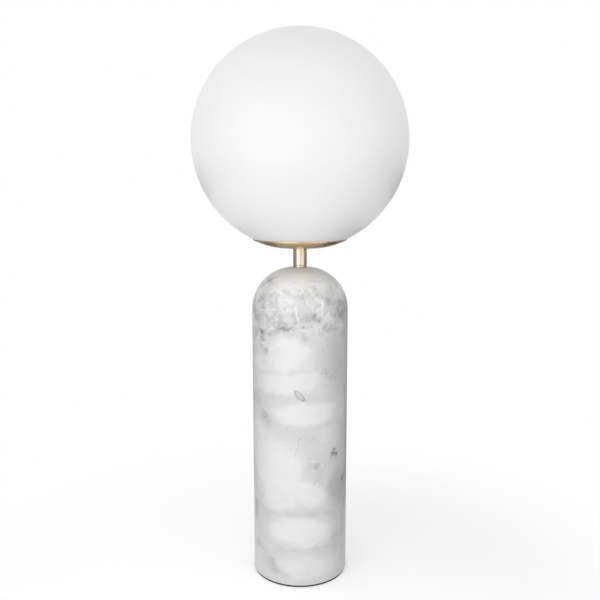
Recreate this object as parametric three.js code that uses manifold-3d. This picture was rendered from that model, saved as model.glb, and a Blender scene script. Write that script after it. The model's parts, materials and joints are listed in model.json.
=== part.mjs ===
// Glass globe table lamp: an opal glass globe in a shallow brass dish, on a round-topped stone column.
// Millimetres, +Z up. The origin is the centre of the foot on the table, the front faces -Y,
// and the mains cord enters at the back, +Y, near the foot.

import * as THREE from 'three';
import * as BufferGeometryUtils from 'three/addons/utils/BufferGeometryUtils.js';
import Module from 'manifold-3d';

const wasm = await Module();
wasm.setup();

// Clearances shared by all pieces
const seatGap = 0.3; // between curved, cut or turned surfaces that meet
const overrun = 2; // how far a cutting body runs past the face that it opens
const weldDistance = 0.0001;

// Stone column and foot
const standHeight = 300; // pad and column together
const columnDiameter = 91;
const columnTopRadius = 39.4;
const columnEdgeChamfer = 0.8;
const padThickness = 1.5;
const coverDiameter = 69.4;
const coverThickness = 1.5;
const recessDiameter = 64;
const recessDepth = 24; // from the column's underside

// Threaded tube and what clamps it
const tubeDiameter = 10;
const tubeBore = 8;
const tubeProud = 2; // thread left over below the lower nut
const stoneBoreClearance = 0.5; // on the radius
const nutAcrossFlats = 14;
const nutHeight = 4;
const nutChamfer = 0.8;
const tiePlateDiameter = 56;
const tiePlateThickness = 3;
const springWasherDiameter = 17;
const springWasherThickness = 1.6;
const springWasherCut = 1.4;

// Brass stem and dish
const stemDiameter = 13;
const stemLength = 18.3;
const dishRimDiameter = 88.2;
const dishFloorDiameter = 30; // flat part of the underside
const dishBowlRadius = 62.5; // underside, from the floor to the rim
const dishSheet = 0.8;

// Glass globe
const globeDiameter = 200;
const globeWall = 3;
const mouthDiameter = 66; // at the narrowest, the inner edge

// Spring clips that hold the globe by its mouth
const clipCount = 3;
const clipPlateDiameter = 52;
const clipPlateThickness = 1;
const spacerDiameter = 28;
const spacerThickness = 1.5;
const clipWidth = 8;
const clipSheet = 0.5;
const clipFootStart = 16; // radius of the foot's inner end
const clipFootLength = 10;
const clipLeafHeight = 15; // from the foot to the tip
const clipTipInset = 3.6; // how far the tip leans in from the bearing point
const leafBendShares = [0.7, 0.25]; // of the leaf's run out and up to the mouth
const rivetShankDiameter = 2.6;
const rivetHeadDiameter = 5;
const rivetHeadHeight = 1;

// Lampholder with a 27 mm screw socket
const holderDiameter = 40;
const holderNeckDiameter = 16;
const holderNeckHeight = 10;
const holderDomeRadius = 12;
const holderWall = 3;
const holderRimHeight = 3;
const holderSkirtHeight = 9;
const holderTaperHeight = 4;
const holderSleeveDiameter = 34.4;
const holderHeight = 58;
const holderLipThickness = 2;
const holderLipDiameter = 27.8;
const insertDiameter = 35.4;
const insertThickness = 6;
const screwShellDiameter = 28.4;
const screwShellSheet = 0.6;
const tubeTopInset = 3.5; // from the tube's end up to the holder's inner floor
const contactRise = 3; // from the insert up to the bulb's contact
const grubDiameter = 3;
const grubLength = 3.2;
const postWidth = 5;
const postDepth = 6;
const postOffset = 8.5; // from the axis to a terminal post's centre
const postReach = 9.5; // below the insert
const postLeadRise = 3.4; // from a post's foot to its lead's axis
const postScrewDiameter = 3;
const postScrewHeadDiameter = 4.4;
const postScrewHeadHeight = 1.4;
const contactSheet = 0.6;
const contactWidth = 5;

// Bulb with a 27 mm screw cap
const bulbDiameter = 60;
const bulbLength = 106;
const bulbNeckDiameter = 27;
const bulbStemDiameter = 24.6; // inside the cap
const bulbStemDepth = 4;
const bulbGlassWall = 1;
const bulbCapDiameter = 26.2;
const bulbCapSheet = 0.5;
const bulbCapHeight = 22;
const bulbCapEdge = 1.6; // bevel at the cap's lower edge
const insulatorHeight = 4;
const insulatorDiameter = 23;
const bulbContactDiameter = 9.6;
const bulbContactHeight = 1;
const bulbContactBevel = 0.4;
const bulbShoulderAngle = THREE.MathUtils.degToRad(125); // from the top, where the ball meets the neck
const bulbNeckPullShare = 0.4; // of the ball's radius, how softly ball and neck run together

// Cord inlet at the back
const inletHeight = 13.5; // of its axis, above the table
const inletHoleDiameter = 11;
const bushingBore = 7.4;
const bushingFlangeDiameter = 15;
const bushingFlangeThickness = 1.6;
const bushingLength = 10; // inside the hole
const bushingEdge = 0.5;
const spotFaceDepth = 0.9;

// Terminal block under the tie plate, and the two leads up to the lampholder
const blockLength = 18; // along the wires
const blockWidth = 18;
const blockHeight = 12;
const blockOffset = 20.5; // from the axis to its centre
const blockPoleSpacing = 10;
const blockPoleHeight = 4.5; // from the underside to a pole's axis
const blockEdge = 1;
const blockScrewDiameter = 3;
const blockScrewHeadDiameter = 5.2;
const blockScrewHeadHeight = 1.6;
const blockScrewBite = 1.8; // into the tie plate
const sleeveDiameter = 4.4;
const sleeveBore = 3;
const sleeveLength = 16;
const clampScrewDiameter = 2.6;
const clampScrewLength = 3;
const clampScrewSpacing = 9;
const leadDiameter = 2.2;
const leadSpacing = 2.8; // between the two leads in the tube
const leadBend = 4.4;
const liveLoop = 4; // how far each lead's loop swings out of the block
const neutralLoop = 8;
const leadGrip = 6; // length of a lead inside its sleeve
const leadPostDepth = 2.7; // length of a lead inside its post
const leadRest = 12; // straight run inside each end of the tube
const loopDipShare = 0.3; // of the bend, how far a loop drops as it leaves the block
const loopTurnShare = 0.6; // of the bend, how wide it turns towards the tube
const loopReturnShares = [0.6, 0.12]; // of the block's half length, on the way back to the axis

// Faceting
const finely = 48;
const evenly = 24;
const coarsely = 20;
const roughly = 10;
const globeLowerSteps = 7;
const globeUpperSteps = 9;
const dishArcSteps = 5;
const columnArcSteps = 8;
const domeArcSteps = 4;
const bulbLowerSteps = 2;
const bulbUpperSteps = 5;
const leadSides = 8;
const leadStepsPerPoint = 2;

const globeRadius = globeDiameter / 2;
const columnRadius = columnDiameter / 2;
const tubeRadius = tubeDiameter / 2;
const passRadius = tubeRadius + seatGap; // of every hole that the tube runs through
const padRadius = columnRadius - columnEdgeChamfer;

// Heights of the pieces clamped under the column, from its recess down
const coverTop = padThickness + coverThickness;
const recessCeiling = padThickness + recessDepth;
const tiePlateBottom = recessCeiling - tiePlateThickness;
const lowerNutTop = tiePlateBottom - springWasherThickness;
const lowerNutBottom = lowerNutTop - nutHeight;
const tubeBottom = lowerNutBottom - tubeProud;

// Heights of the pieces clamped on the stem, from the dish up
const dishUnderside = standHeight + stemLength;
const dishFloor = dishUnderside + dishSheet;
const clipPlateBottom = dishFloor + spacerThickness;
const clipPlateTop = clipPlateBottom + clipPlateThickness;
const upperNutBottom = clipPlateTop + springWasherThickness;
const holderBottom = upperNutBottom + nutHeight;
const holderInnerFloor = holderBottom + holderNeckHeight + holderWall;
const domeCentre = holderBottom + holderNeckHeight + holderDomeRadius;
const holderRim = domeCentre + holderRimHeight;
const insertTop = holderRim + insertThickness;
const contactTop = insertTop + contactSheet;
const holderTop = holderBottom + holderHeight;
const tubeTop = holderInnerFloor - tubeTopInset;
const bulbBottom = insertTop + contactRise;
const insulatorBottom = bulbBottom + bulbContactHeight;
const bulbCapBottom = insulatorBottom + insulatorHeight;
const bulbCapTop = bulbCapBottom + bulbCapHeight;
const postBottom = holderRim - postReach;
const postLeadHeight = postBottom + postLeadRise;

// The dish's bowl is one arc, square to its sheet at the rim
const dishArcStart = dishFloorDiameter / 2;
const dishArcCentre = dishUnderside + dishBowlRadius;
const dishRimAngle = Math.asin((dishRimDiameter / 2 - dishArcStart) / dishBowlRadius);
const dishInnerBowlRadius = dishBowlRadius - dishSheet;
const rimInnerRadius = dishArcStart + dishInnerBowlRadius * Math.sin(dishRimAngle);
const rimInnerHeight = dishArcCentre - dishInnerBowlRadius * Math.cos(dishRimAngle);

// The globe comes down on the dish's rim, or on its bowl if the mouth's edge meets that first
const globeInnerRadius = globeRadius - globeWall;
const mouthAngle = Math.asin(mouthDiameter / 2 / globeInnerRadius);
const mouthReach = globeRadius * Math.sin(mouthAngle) - dishArcStart;
const bowlHeight = dishArcCentre - Math.sqrt((dishInnerBowlRadius - seatGap) ** 2 - mouthReach ** 2);
const centreOnRim = rimInnerHeight + Math.sqrt((globeRadius + seatGap) ** 2 - rimInnerRadius ** 2);
const centreOnBowl = bowlHeight + globeRadius * Math.cos(mouthAngle);
const globeCentre = Math.max(centreOnRim, centreOnBowl);
const mouthEdgeHeight = globeCentre - globeInnerRadius * Math.cos(mouthAngle);

// Finishes: colour, roughness and metalness
const finishes = {
  opalGlass: ['#f4f4f3', 0.35, 0],
  brushedBrass: ['#c9ad87', 0.34, 1],
  whiteMarble: ['#d9d8d6', 0.3, 0],
  blackFoam: ['#2b2b2b', 0.9, 0],
  steel: ['#b4b5b6', 0.4, 1],
  springSteel: ['#a9abad', 0.3, 1],
  nickel: ['#c4c2bc', 0.25, 1],
  brass: ['#b59a5f', 0.35, 1],
  whitePlastic: ['#efeeea', 0.4, 0],
  ceramic: ['#e6e2d9', 0.3, 0],
  blackPlastic: ['#1d1d1e', 0.5, 0],
  blackGlass: ['#151518', 0.15, 0],
  frostedGlass: ['#f6f4ef', 0.5, 0],
  brownLead: ['#5b3a26', 0.5, 0],
  blueLead: ['#2f5f9e', 0.5, 0],
};

const lamp = new THREE.Group();
lamp.name = 'globe_table_lamp';

function addPiece(name, geometry, finish) {
  const [color, roughness, metalness] = finishes[finish];
  const material = new THREE.MeshStandardMaterial({ color, roughness, metalness });
  const mesh = new THREE.Mesh(geometry, material);
  mesh.name = name;
  lamp.add(mesh);
}

const at = (radius, height) => new THREE.Vector2(radius, height);

// Points of an arc in a profile; angles are counted from straight down, outwards positive
function arcPoints(centreRadius, centreHeight, arcRadius, fromAngle, toAngle, steps) {
  return Array.from({ length: steps + 1 }, (_, step) => {
    const angle = fromAngle + ((toAngle - fromAngle) * step) / steps;
    return at(centreRadius + arcRadius * Math.sin(angle), centreHeight - arcRadius * Math.cos(angle));
  });
}

// Half outline of a ball, from an angle near its foot, through its widest ring, to its top
function ballPoints(centre, radius, fromAngle, lowerSteps, upperSteps) {
  const lower = arcPoints(0, centre, radius, fromAngle, Math.PI / 2, lowerSteps);
  const upper = arcPoints(0, centre, radius, Math.PI / 2, Math.PI, upperSteps);
  return [...lower, ...upper.slice(1)];
}

// A turned piece. The profile runs counter-clockwise, radius to the right and height up.
function turned(profile, segments) {
  return new THREE.LatheGeometry(profile, segments).rotateX(Math.PI / 2);
}

function closedRing(profile, segments) {
  return turned([...profile, profile[0]], segments);
}

function sleeve(innerRadius, outerRadius, bottom, top, segments) {
  const outer = [at(outerRadius, bottom), at(outerRadius, top)];
  const inner = [at(innerRadius, top), at(innerRadius, bottom)];
  return closedRing([...outer, ...inner], segments);
}

function disc(radius, bottom, top, segments) {
  return turned([at(0, bottom), at(radius, bottom), at(radius, top), at(0, top)], segments);
}

function box(width, depth, bottom, top) {
  return new THREE.BoxGeometry(width, depth, top - bottom).translate(0, 0, (bottom + top) / 2);
}

// Booleans: a closed geometry as a solid, and back
function toSolid(geometry) {
  const bare = geometry.clone();
  bare.deleteAttribute('normal');
  bare.deleteAttribute('uv');
  const welded = BufferGeometryUtils.mergeVertices(bare, weldDistance);
  const corners = welded.index.array;
  const kept = [];
  for (let first = 0; first < corners.length; first += 3) {
    const [a, b, c] = corners.slice(first, first + 3);
    if (a !== b && b !== c && c !== a) {
      kept.push(a, b, c);
    }
  }
  const vertProperties = new Float32Array(welded.getAttribute('position').array);
  return new wasm.Manifold(new wasm.Mesh({ numProp: 3, vertProperties, triVerts: new Uint32Array(kept) }));
}

function toGeometry(solid) {
  const { vertProperties, triVerts } = solid.getMesh();
  const geometry = new THREE.BufferGeometry();
  geometry.setAttribute('position', new THREE.BufferAttribute(vertProperties, 3));
  geometry.setIndex(new THREE.BufferAttribute(triVerts, 1));
  geometry.computeVertexNormals();
  return geometry;
}

function cutAway(geometry, ...cutters) {
  const left = cutters.reduce((solid, cutter) => solid.subtract(toSolid(cutter)), toSolid(geometry));
  return toGeometry(left);
}

// A flat strip of sheet bent along points in a radius and height plane, centred on its width
function bentStrip(middle, sheet, width) {
  const sides = middle.map((point, index) => {
    const before = middle[Math.max(index - 1, 0)];
    const after = middle[Math.min(index + 1, middle.length - 1)];
    const along = new THREE.Vector2().subVectors(after, before).normalize();
    const across = new THREE.Vector2(-along.y, along.x).multiplyScalar(sheet / 2);
    return [point.clone().add(across), point.clone().sub(across)];
  });
  const upper = sides.map(([above]) => above);
  const lower = sides.map(([, below]) => below);
  const outline = new THREE.Shape([...lower, ...upper.reverse()]);
  const strip = new THREE.ExtrudeGeometry(outline, { depth: width, bevelEnabled: false });
  return strip.translate(0, 0, -width / 2).rotateX(Math.PI / 2);
}

// Stone column: rounded over to the stem's seat, bored through, recessed below, drilled at the back
function makeColumn() {
  const coverStep = coverDiameter / 2 + seatGap;
  const boreRadius = tubeRadius + stoneBoreClearance;
  const topArcRadius = columnRadius - columnTopRadius;
  const topArcHeight = standHeight - columnTopRadius;
  const recessRadius = recessDiameter / 2;
  const body = closedRing(
    [
      at(coverStep, padThickness),
      at(padRadius, padThickness),
      at(columnRadius, padThickness + columnEdgeChamfer),
      ...arcPoints(topArcRadius, topArcHeight, columnTopRadius, Math.PI / 2, Math.PI, columnArcSteps),
      at(boreRadius, standHeight),
      at(boreRadius, recessCeiling),
      at(recessRadius, recessCeiling),
      at(recessRadius, coverTop),
      at(coverStep, coverTop),
    ],
    finely,
  );
  const holeStart = recessRadius - overrun;
  const hole = disc(inletHoleDiameter / 2, holeStart, columnRadius + overrun, coarsely);
  const spotRadius = bushingFlangeDiameter / 2 + seatGap;
  const spotFace = disc(spotRadius, columnRadius - spotFaceDepth, columnRadius + overrun, coarsely);
  const drilled = cutAway(body, towardsBack(hole), towardsBack(spotFace));
  addPiece('stone_column', drilled, 'whiteMarble');
}

// Lays a piece that was turned about Z along +Y, on the cord inlet's axis
function towardsBack(geometry) {
  return geometry.rotateX(-Math.PI / 2).translate(0, 0, inletHeight);
}

function makeFoot() {
  addPiece('foot_pad', disc(padRadius, 0, padThickness, finely), 'blackFoam');
  addPiece('recess_cover', disc(coverDiameter / 2, padThickness, coverTop, finely), 'steel');
}

function makeCordBushing() {
  const flangeStart = columnRadius - spotFaceDepth + seatGap;
  const flangeEnd = flangeStart + bushingFlangeThickness;
  const bodyRadius = inletHoleDiameter / 2 - seatGap;
  const profile = [
    at(bushingBore / 2, flangeStart - bushingLength),
    at(bodyRadius, flangeStart - bushingLength),
    at(bodyRadius, flangeStart),
    at(bushingFlangeDiameter / 2, flangeStart),
    at(bushingFlangeDiameter / 2, flangeEnd - bushingEdge),
    at(bushingFlangeDiameter / 2 - bushingEdge, flangeEnd),
    at(bushingBore / 2 + bushingEdge, flangeEnd),
    at(bushingBore / 2, flangeEnd - bushingEdge),
  ];
  addPiece('cord_bushing', towardsBack(closedRing(profile, coarsely)), 'blackPlastic');
}

// Hexagon nut: a prism cut by a turned body that chamfers its corners
function hexNut(bottom) {
  const cornerRadius = nutAcrossFlats / Math.sqrt(3);
  const top = bottom + nutHeight;
  const prism = disc(cornerRadius, bottom, top, 6);
  const flatRadius = nutAcrossFlats / 2;
  const chamfered = turned(
    [
      at(0, bottom),
      at(flatRadius, bottom),
      at(cornerRadius + nutChamfer, bottom + nutChamfer),
      at(cornerRadius + nutChamfer, top - nutChamfer),
      at(flatRadius, top),
      at(0, top),
    ],
    coarsely,
  );
  const threadedHole = disc(passRadius, bottom - overrun, top + overrun, coarsely);
  return toGeometry(toSolid(prism).intersect(toSolid(chamfered)).subtract(toSolid(threadedHole)));
}

// Split spring washer: a flat ring with a narrow cut
function springWasher(bottom) {
  const outer = springWasherDiameter / 2;
  const ring = sleeve(passRadius, outer, bottom, bottom + springWasherThickness, coarsely);
  const cutLength = outer + overrun;
  const gap = box(cutLength, springWasherCut, bottom - overrun, bottom + springWasherThickness + overrun);
  return cutAway(ring, gap.translate(cutLength / 2, 0, 0));
}

function makeTubeAndClamps() {
  addPiece('threaded_tube', sleeve(tubeBore / 2, tubeRadius, tubeBottom, tubeTop, coarsely), 'steel');
  const plate = sleeve(passRadius, tiePlateDiameter / 2, tiePlateBottom, recessCeiling, evenly);
  const screwHole = blockScrewDiameter / 2 + seatGap;
  const tapped = disc(screwHole, tiePlateBottom - overrun, recessCeiling + overrun, roughly);
  addPiece('tie_plate', cutAway(plate, tapped.translate(blockOffset, 0, 0)), 'steel');
  addPiece('lower_spring_washer', springWasher(lowerNutTop), 'springSteel');
  addPiece('lower_nut', hexNut(lowerNutBottom), 'steel');
  const spacer = sleeve(passRadius, spacerDiameter / 2, dishFloor, clipPlateBottom, coarsely);
  addPiece('dish_spacer', spacer, 'steel');
  addPiece('upper_spring_washer', springWasher(clipPlateTop), 'springSteel');
  addPiece('upper_nut', hexNut(upperNutBottom), 'steel');
}

function makeStemAndDish() {
  const stem = sleeve(passRadius, stemDiameter / 2, standHeight, dishUnderside, evenly);
  addPiece('stem_sleeve', stem, 'brushedBrass');
  const dish = closedRing(
    [
      at(passRadius, dishUnderside),
      ...arcPoints(dishArcStart, dishArcCentre, dishBowlRadius, 0, dishRimAngle, dishArcSteps),
      ...arcPoints(dishArcStart, dishArcCentre, dishInnerBowlRadius, dishRimAngle, 0, dishArcSteps),
      at(passRadius, dishFloor),
    ],
    finely,
  );
  addPiece('globe_dish', dish, 'brushedBrass');
}

function makeGlobe() {
  const wall = (radius) => ballPoints(globeCentre, radius, mouthAngle, globeLowerSteps, globeUpperSteps);
  const profile = [...wall(globeInnerRadius).reverse(), ...wall(globeRadius)];
  addPiece('glass_globe', turned(profile, finely), 'opalGlass');
}

// Leaf clips riveted on a plate in the dish; each bears on the inside of the globe's mouth
function makeClips() {
  const rivetRadius = clipFootStart + clipFootLength / 2;
  const rivetHole = rivetShankDiameter / 2 + seatGap;
  const footTop = clipPlateTop + clipSheet;
  const footMiddle = clipPlateTop + clipSheet / 2;
  const footEnd = clipFootStart + clipFootLength;
  const cornerReach = mouthDiameter / 2 - seatGap;
  const bearing = Math.sqrt(cornerReach ** 2 - (clipWidth / 2) ** 2) - clipSheet / 2;
  const [outShare, upShare] = leafBendShares;
  const bendRadius = footEnd + (bearing - footEnd) * outShare;
  const bendHeight = footMiddle + (mouthEdgeHeight - footMiddle) * upShare;
  const leaf = [
    at(clipFootStart, footMiddle),
    at(footEnd, footMiddle),
    at(bendRadius, bendHeight),
    at(bearing, mouthEdgeHeight),
    at(bearing, mouthEdgeHeight + globeWall / 2),
    at(bearing - clipTipInset, footTop + clipLeafHeight),
  ];
  const plateHoles = [];
  for (let index = 0; index < clipCount; index += 1) {
    const turn = Math.PI / 2 + (index * 2 * Math.PI) / clipCount;
    const hole = disc(rivetHole, clipPlateBottom - overrun, footTop + overrun, roughly);
    hole.translate(rivetRadius, 0, 0);
    const clip = cutAway(bentStrip(leaf, clipSheet, clipWidth), hole);
    const rivet = turned(
      [
        at(0, clipPlateBottom),
        at(rivetShankDiameter / 2, clipPlateBottom),
        at(rivetShankDiameter / 2, footTop),
        at(rivetHeadDiameter / 2, footTop),
        at(rivetHeadDiameter / 4, footTop + rivetHeadHeight),
        at(0, footTop + rivetHeadHeight),
      ],
      roughly,
    );
    plateHoles.push(hole.rotateZ(turn));
    addPiece(`spring_clip_${index + 1}`, clip.rotateZ(turn), 'springSteel');
    addPiece(`clip_rivet_${index + 1}`, rivet.translate(rivetRadius, 0, 0).rotateZ(turn), 'nickel');
  }
  const plate = sleeve(passRadius, clipPlateDiameter / 2, clipPlateBottom, clipPlateTop, evenly);
  addPiece('clip_plate', cutAway(plate, ...plateHoles), 'springSteel');
}

// Lampholder: cap, insert with its posts and contacts, screw shell and outer shell
function makeHolderCap() {
  const neckRadius = holderNeckDiameter / 2;
  const innerDome = holderDomeRadius - holderWall;
  const cap = closedRing(
    [
      at(passRadius, holderBottom),
      at(neckRadius, holderBottom),
      ...arcPoints(neckRadius, domeCentre, holderDomeRadius, 0, Math.PI / 2, domeArcSteps),
      at(holderDiameter / 2, holderRim),
      at(neckRadius + innerDome, holderRim),
      ...arcPoints(neckRadius, domeCentre, innerDome, Math.PI / 2, 0, domeArcSteps),
      at(passRadius, holderInnerFloor),
    ],
    evenly,
  );
  const grubHeight = holderBottom + holderNeckHeight / 2;
  const alongY = (geometry) => geometry.rotateX(-Math.PI / 2).translate(0, 0, grubHeight);
  const grubHole = disc(grubDiameter / 2 + seatGap, 0, neckRadius + overrun, roughly);
  const grub = disc(grubDiameter / 2, passRadius, passRadius + grubLength, roughly);
  addPiece('holder_cap', cutAway(cap, alongY(grubHole)), 'whitePlastic');
  addPiece('holder_grub_screw', alongY(grub), 'steel');
}

function makeHolderShell() {
  const skirtTop = holderRim + holderSkirtHeight;
  const insertRadius = insertDiameter / 2 + seatGap;
  const socketRadius = screwShellDiameter / 2 + seatGap;
  const lipBottom = holderTop - holderLipThickness;
  const shell = closedRing(
    [
      at(insertRadius, holderRim),
      at(holderDiameter / 2, holderRim),
      at(holderDiameter / 2, skirtTop),
      at(holderSleeveDiameter / 2, skirtTop + holderTaperHeight),
      at(holderSleeveDiameter / 2, holderTop),
      at(holderLipDiameter / 2, holderTop),
      at(holderLipDiameter / 2, lipBottom),
      at(socketRadius, lipBottom),
      at(socketRadius, contactTop + seatGap),
      at(insertRadius, contactTop + seatGap),
    ],
    evenly,
  );
  addPiece('holder_shell', shell, 'whitePlastic');
  const shellRadius = screwShellDiameter / 2;
  const screwShell = sleeve(shellRadius - screwShellSheet, shellRadius, contactTop, lipBottom, evenly);
  addPiece('screw_shell', screwShell, 'nickel');
}

function makeHolderInsert() {
  const insert = disc(insertDiameter / 2, holderRim, insertTop, evenly);
  const slotWidth = postWidth + 2 * seatGap;
  const slotDepth = postDepth + 2 * seatGap;
  const slot = () => box(slotWidth, slotDepth, holderRim - overrun, insertTop + overrun);
  const slots = [slot().translate(postOffset, 0, 0), slot().translate(-postOffset, 0, 0)];
  addPiece('holder_insert', cutAway(insert, ...slots), 'ceramic');

  const holeRadius = leadDiameter / 2 + seatGap;
  const innerFace = postOffset - postWidth / 2;
  const leadHole = () =>
    disc(holeRadius, innerFace - overrun, innerFace + leadPostDepth + seatGap, roughly)
      .rotateY(Math.PI / 2)
      .translate(0, 0, postLeadHeight);
  const screwRadius = postScrewDiameter / 2;
  const screwHole = () =>
    disc(screwRadius + seatGap, postBottom - overrun, postLeadHeight, roughly).translate(postOffset, 0, 0);
  const screwTip = postLeadHeight - leadDiameter / 2 - seatGap;
  const screw = () =>
    turned(
      [
        at(0, postBottom - postScrewHeadHeight),
        at(postScrewHeadDiameter / 2, postBottom - postScrewHeadHeight),
        at(postScrewHeadDiameter / 2, postBottom),
        at(screwRadius, postBottom),
        at(screwRadius, screwTip),
        at(0, screwTip),
      ],
      roughly,
    ).translate(postOffset, 0, 0);
  const blank = () => box(postWidth, postDepth, postBottom, insertTop).translate(postOffset, 0, 0);
  const post = () => cutAway(blank(), leadHole(), screwHole());
  addPiece('live_post', post(), 'brass');
  addPiece('live_post_screw', screw(), 'nickel');
  addPiece('neutral_post', post().rotateZ(Math.PI), 'brass');
  addPiece('neutral_post_screw', screw().rotateZ(Math.PI), 'nickel');
}

function makeContacts() {
  const flat = insertTop + contactSheet / 2;
  const postOuter = postOffset + postWidth / 2;
  const postInner = postOffset - postWidth / 2;
  const tongueTop = bulbBottom - seatGap - contactSheet / 2;
  const centre = [
    at(-bulbContactDiameter / 4, tongueTop),
    at(bulbContactDiameter / 4, tongueTop),
    at(bulbContactDiameter / 2, (tongueTop + flat) / 2),
    at(postInner, flat),
    at(postOuter, flat),
  ];
  addPiece('centre_contact', bentStrip(centre, contactSheet, contactWidth), 'brass');
  const shellEdge = screwShellDiameter / 2 + seatGap;
  const side = [at(postInner, flat), at(shellEdge, flat)];
  addPiece('side_contact', bentStrip(side, contactSheet, contactWidth).rotateZ(Math.PI), 'brass');
}

// Outline of the bulb's glass, from the neck up to the top, drawn in by inset for its inner face
function bulbProfile(inset) {
  const ballRadius = bulbDiameter / 2 - inset;
  const ballCentre = bulbBottom + bulbLength - bulbDiameter / 2;
  const neckRadius = bulbNeckDiameter / 2 - inset;
  const neckBottom = bulbCapTop + seatGap + inset;
  const pull = ballRadius * bulbNeckPullShare;
  const shoulder = at(
    ballRadius * Math.sin(bulbShoulderAngle),
    ballCentre + ballRadius * Math.cos(bulbShoulderAngle),
  );
  const slope = at(Math.cos(bulbShoulderAngle), -Math.sin(bulbShoulderAngle)).multiplyScalar(pull);
  const neckCurve = new THREE.CubicBezierCurve(
    at(neckRadius, neckBottom),
    at(neckRadius, neckBottom + pull),
    shoulder.clone().add(slope),
    shoulder,
  );
  const fromNeck = Math.PI - bulbShoulderAngle;
  const ball = ballPoints(ballCentre, ballRadius, fromNeck, bulbLowerSteps, bulbUpperSteps);
  return [
    at(bulbStemDiameter / 2 - inset, bulbCapTop - bulbStemDepth),
    at(bulbStemDiameter / 2 - inset, neckBottom),
    ...neckCurve.getPoints(domeArcSteps),
    ...ball.slice(1),
  ];
}

function makeBulb() {
  const glass = turned([...bulbProfile(bulbGlassWall).reverse(), ...bulbProfile(0)], evenly);
  addPiece('bulb_glass', glass, 'frostedGlass');

  const capRadius = bulbCapDiameter / 2;
  const capInner = capRadius - bulbCapSheet;
  const cap = closedRing(
    [
      at(bulbContactDiameter / 2, bulbCapBottom),
      at(capRadius - bulbCapEdge, bulbCapBottom),
      at(capRadius, bulbCapBottom + bulbCapEdge),
      at(capRadius, bulbCapTop),
      at(capInner, bulbCapTop),
      at(capInner, bulbCapBottom + bulbCapEdge),
      at(capInner - bulbCapEdge, bulbCapBottom + bulbCapSheet),
      at(bulbContactDiameter / 2, bulbCapBottom + bulbCapSheet),
    ],
    evenly,
  );
  addPiece('bulb_cap', cap, 'nickel');
  const insulator = turned(
    [
      at(0, insulatorBottom),
      at(bulbContactDiameter / 2, insulatorBottom),
      at(insulatorDiameter / 2, bulbCapBottom),
      at(0, bulbCapBottom),
    ],
    coarsely,
  );
  addPiece('bulb_insulator', insulator, 'blackGlass');
  const contact = turned(
    [
      at(0, bulbBottom),
      at(bulbContactDiameter / 2 - bulbContactBevel, bulbBottom),
      at(bulbContactDiameter / 2, bulbBottom + bulbContactBevel),
      at(bulbContactDiameter / 2, insulatorBottom),
      at(0, insulatorBottom),
    ],
    roughly,
  );
  addPiece('bulb_contact', contact, 'nickel');
}

// Two-pole terminal block hung under the tie plate, where the cord's cores end
function makeTerminalBlock() {
  const blockBottom = tiePlateBottom - blockHeight;
  const poleHeight = blockBottom + blockPoleHeight;
  const edged = new THREE.Shape([
    at(-blockWidth / 2, blockEdge),
    at(-blockWidth / 2 + blockEdge, 0),
    at(blockWidth / 2 - blockEdge, 0),
    at(blockWidth / 2, blockEdge),
    at(blockWidth / 2, blockHeight),
    at(-blockWidth / 2, blockHeight),
  ]);
  const body = new THREE.ExtrudeGeometry(edged, { depth: blockLength, bevelEnabled: false })
    .rotateX(Math.PI / 2)
    .translate(blockOffset, blockLength / 2, blockBottom);
  const alongWire = (geometry, poleX) => geometry.rotateX(-Math.PI / 2).translate(poleX, 0, poleHeight);
  const halfSleeve = sleeveLength / 2;
  const cuts = [];
  const fixingRadius = blockScrewDiameter / 2;
  const fixingHole = disc(fixingRadius + seatGap, blockBottom - overrun, tiePlateBottom + overrun, roughly);
  cuts.push(fixingHole.translate(blockOffset, 0, 0));
  const poles = { live: blockOffset - blockPoleSpacing / 2, neutral: blockOffset + blockPoleSpacing / 2 };
  const screwTip = poleHeight - leadDiameter / 2 - seatGap;
  for (const [pole, poleX] of Object.entries(poles)) {
    const reach = blockLength / 2 + overrun;
    cuts.push(alongWire(disc(sleeveDiameter / 2 + seatGap, -reach, reach, roughly), poleX));
    const tube = sleeve(sleeveBore / 2, sleeveDiameter / 2, -halfSleeve, halfSleeve, roughly);
    const brass = alongWire(tube, poleX);
    const screwHoles = [];
    for (const [end, side] of [['lead', -1], ['cord', 1]]) {
      const screwY = (side * clampScrewSpacing) / 2;
      const hole = () => disc(clampScrewDiameter / 2 + seatGap, blockBottom - overrun, poleHeight, roughly);
      cuts.push(hole().translate(poleX, screwY, 0));
      screwHoles.push(hole().translate(poleX, screwY, 0));
      const screw = disc(clampScrewDiameter / 2, screwTip - clampScrewLength, screwTip, roughly);
      addPiece(`${pole}_${end}_clamp_screw`, screw.translate(poleX, screwY, 0), 'nickel');
    }
    addPiece(`${pole}_sleeve`, cutAway(brass, ...screwHoles), 'brass');
  }
  addPiece('terminal_block', cutAway(body, ...cuts), 'whitePlastic');
  const blockScrew = turned(
    [
      at(0, blockBottom - blockScrewHeadHeight),
      at(blockScrewHeadDiameter / 2, blockBottom - blockScrewHeadHeight),
      at(blockScrewHeadDiameter / 2, blockBottom),
      at(fixingRadius, blockBottom),
      at(fixingRadius, tiePlateBottom + blockScrewBite),
      at(0, tiePlateBottom + blockScrewBite),
    ],
    roughly,
  );
  addPiece('block_screw', blockScrew.translate(blockOffset, 0, 0), 'steel');
}

// A lead's route gives each stretch between two of its points as many steps, however long it is
class LeadRoute extends THREE.CatmullRomCurve3 {
  getPointAt(share, target) {
    return this.getPoint(share, target);
  }

  getTangentAt(share, target) {
    return this.getTangent(share, target);
  }
}

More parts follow.
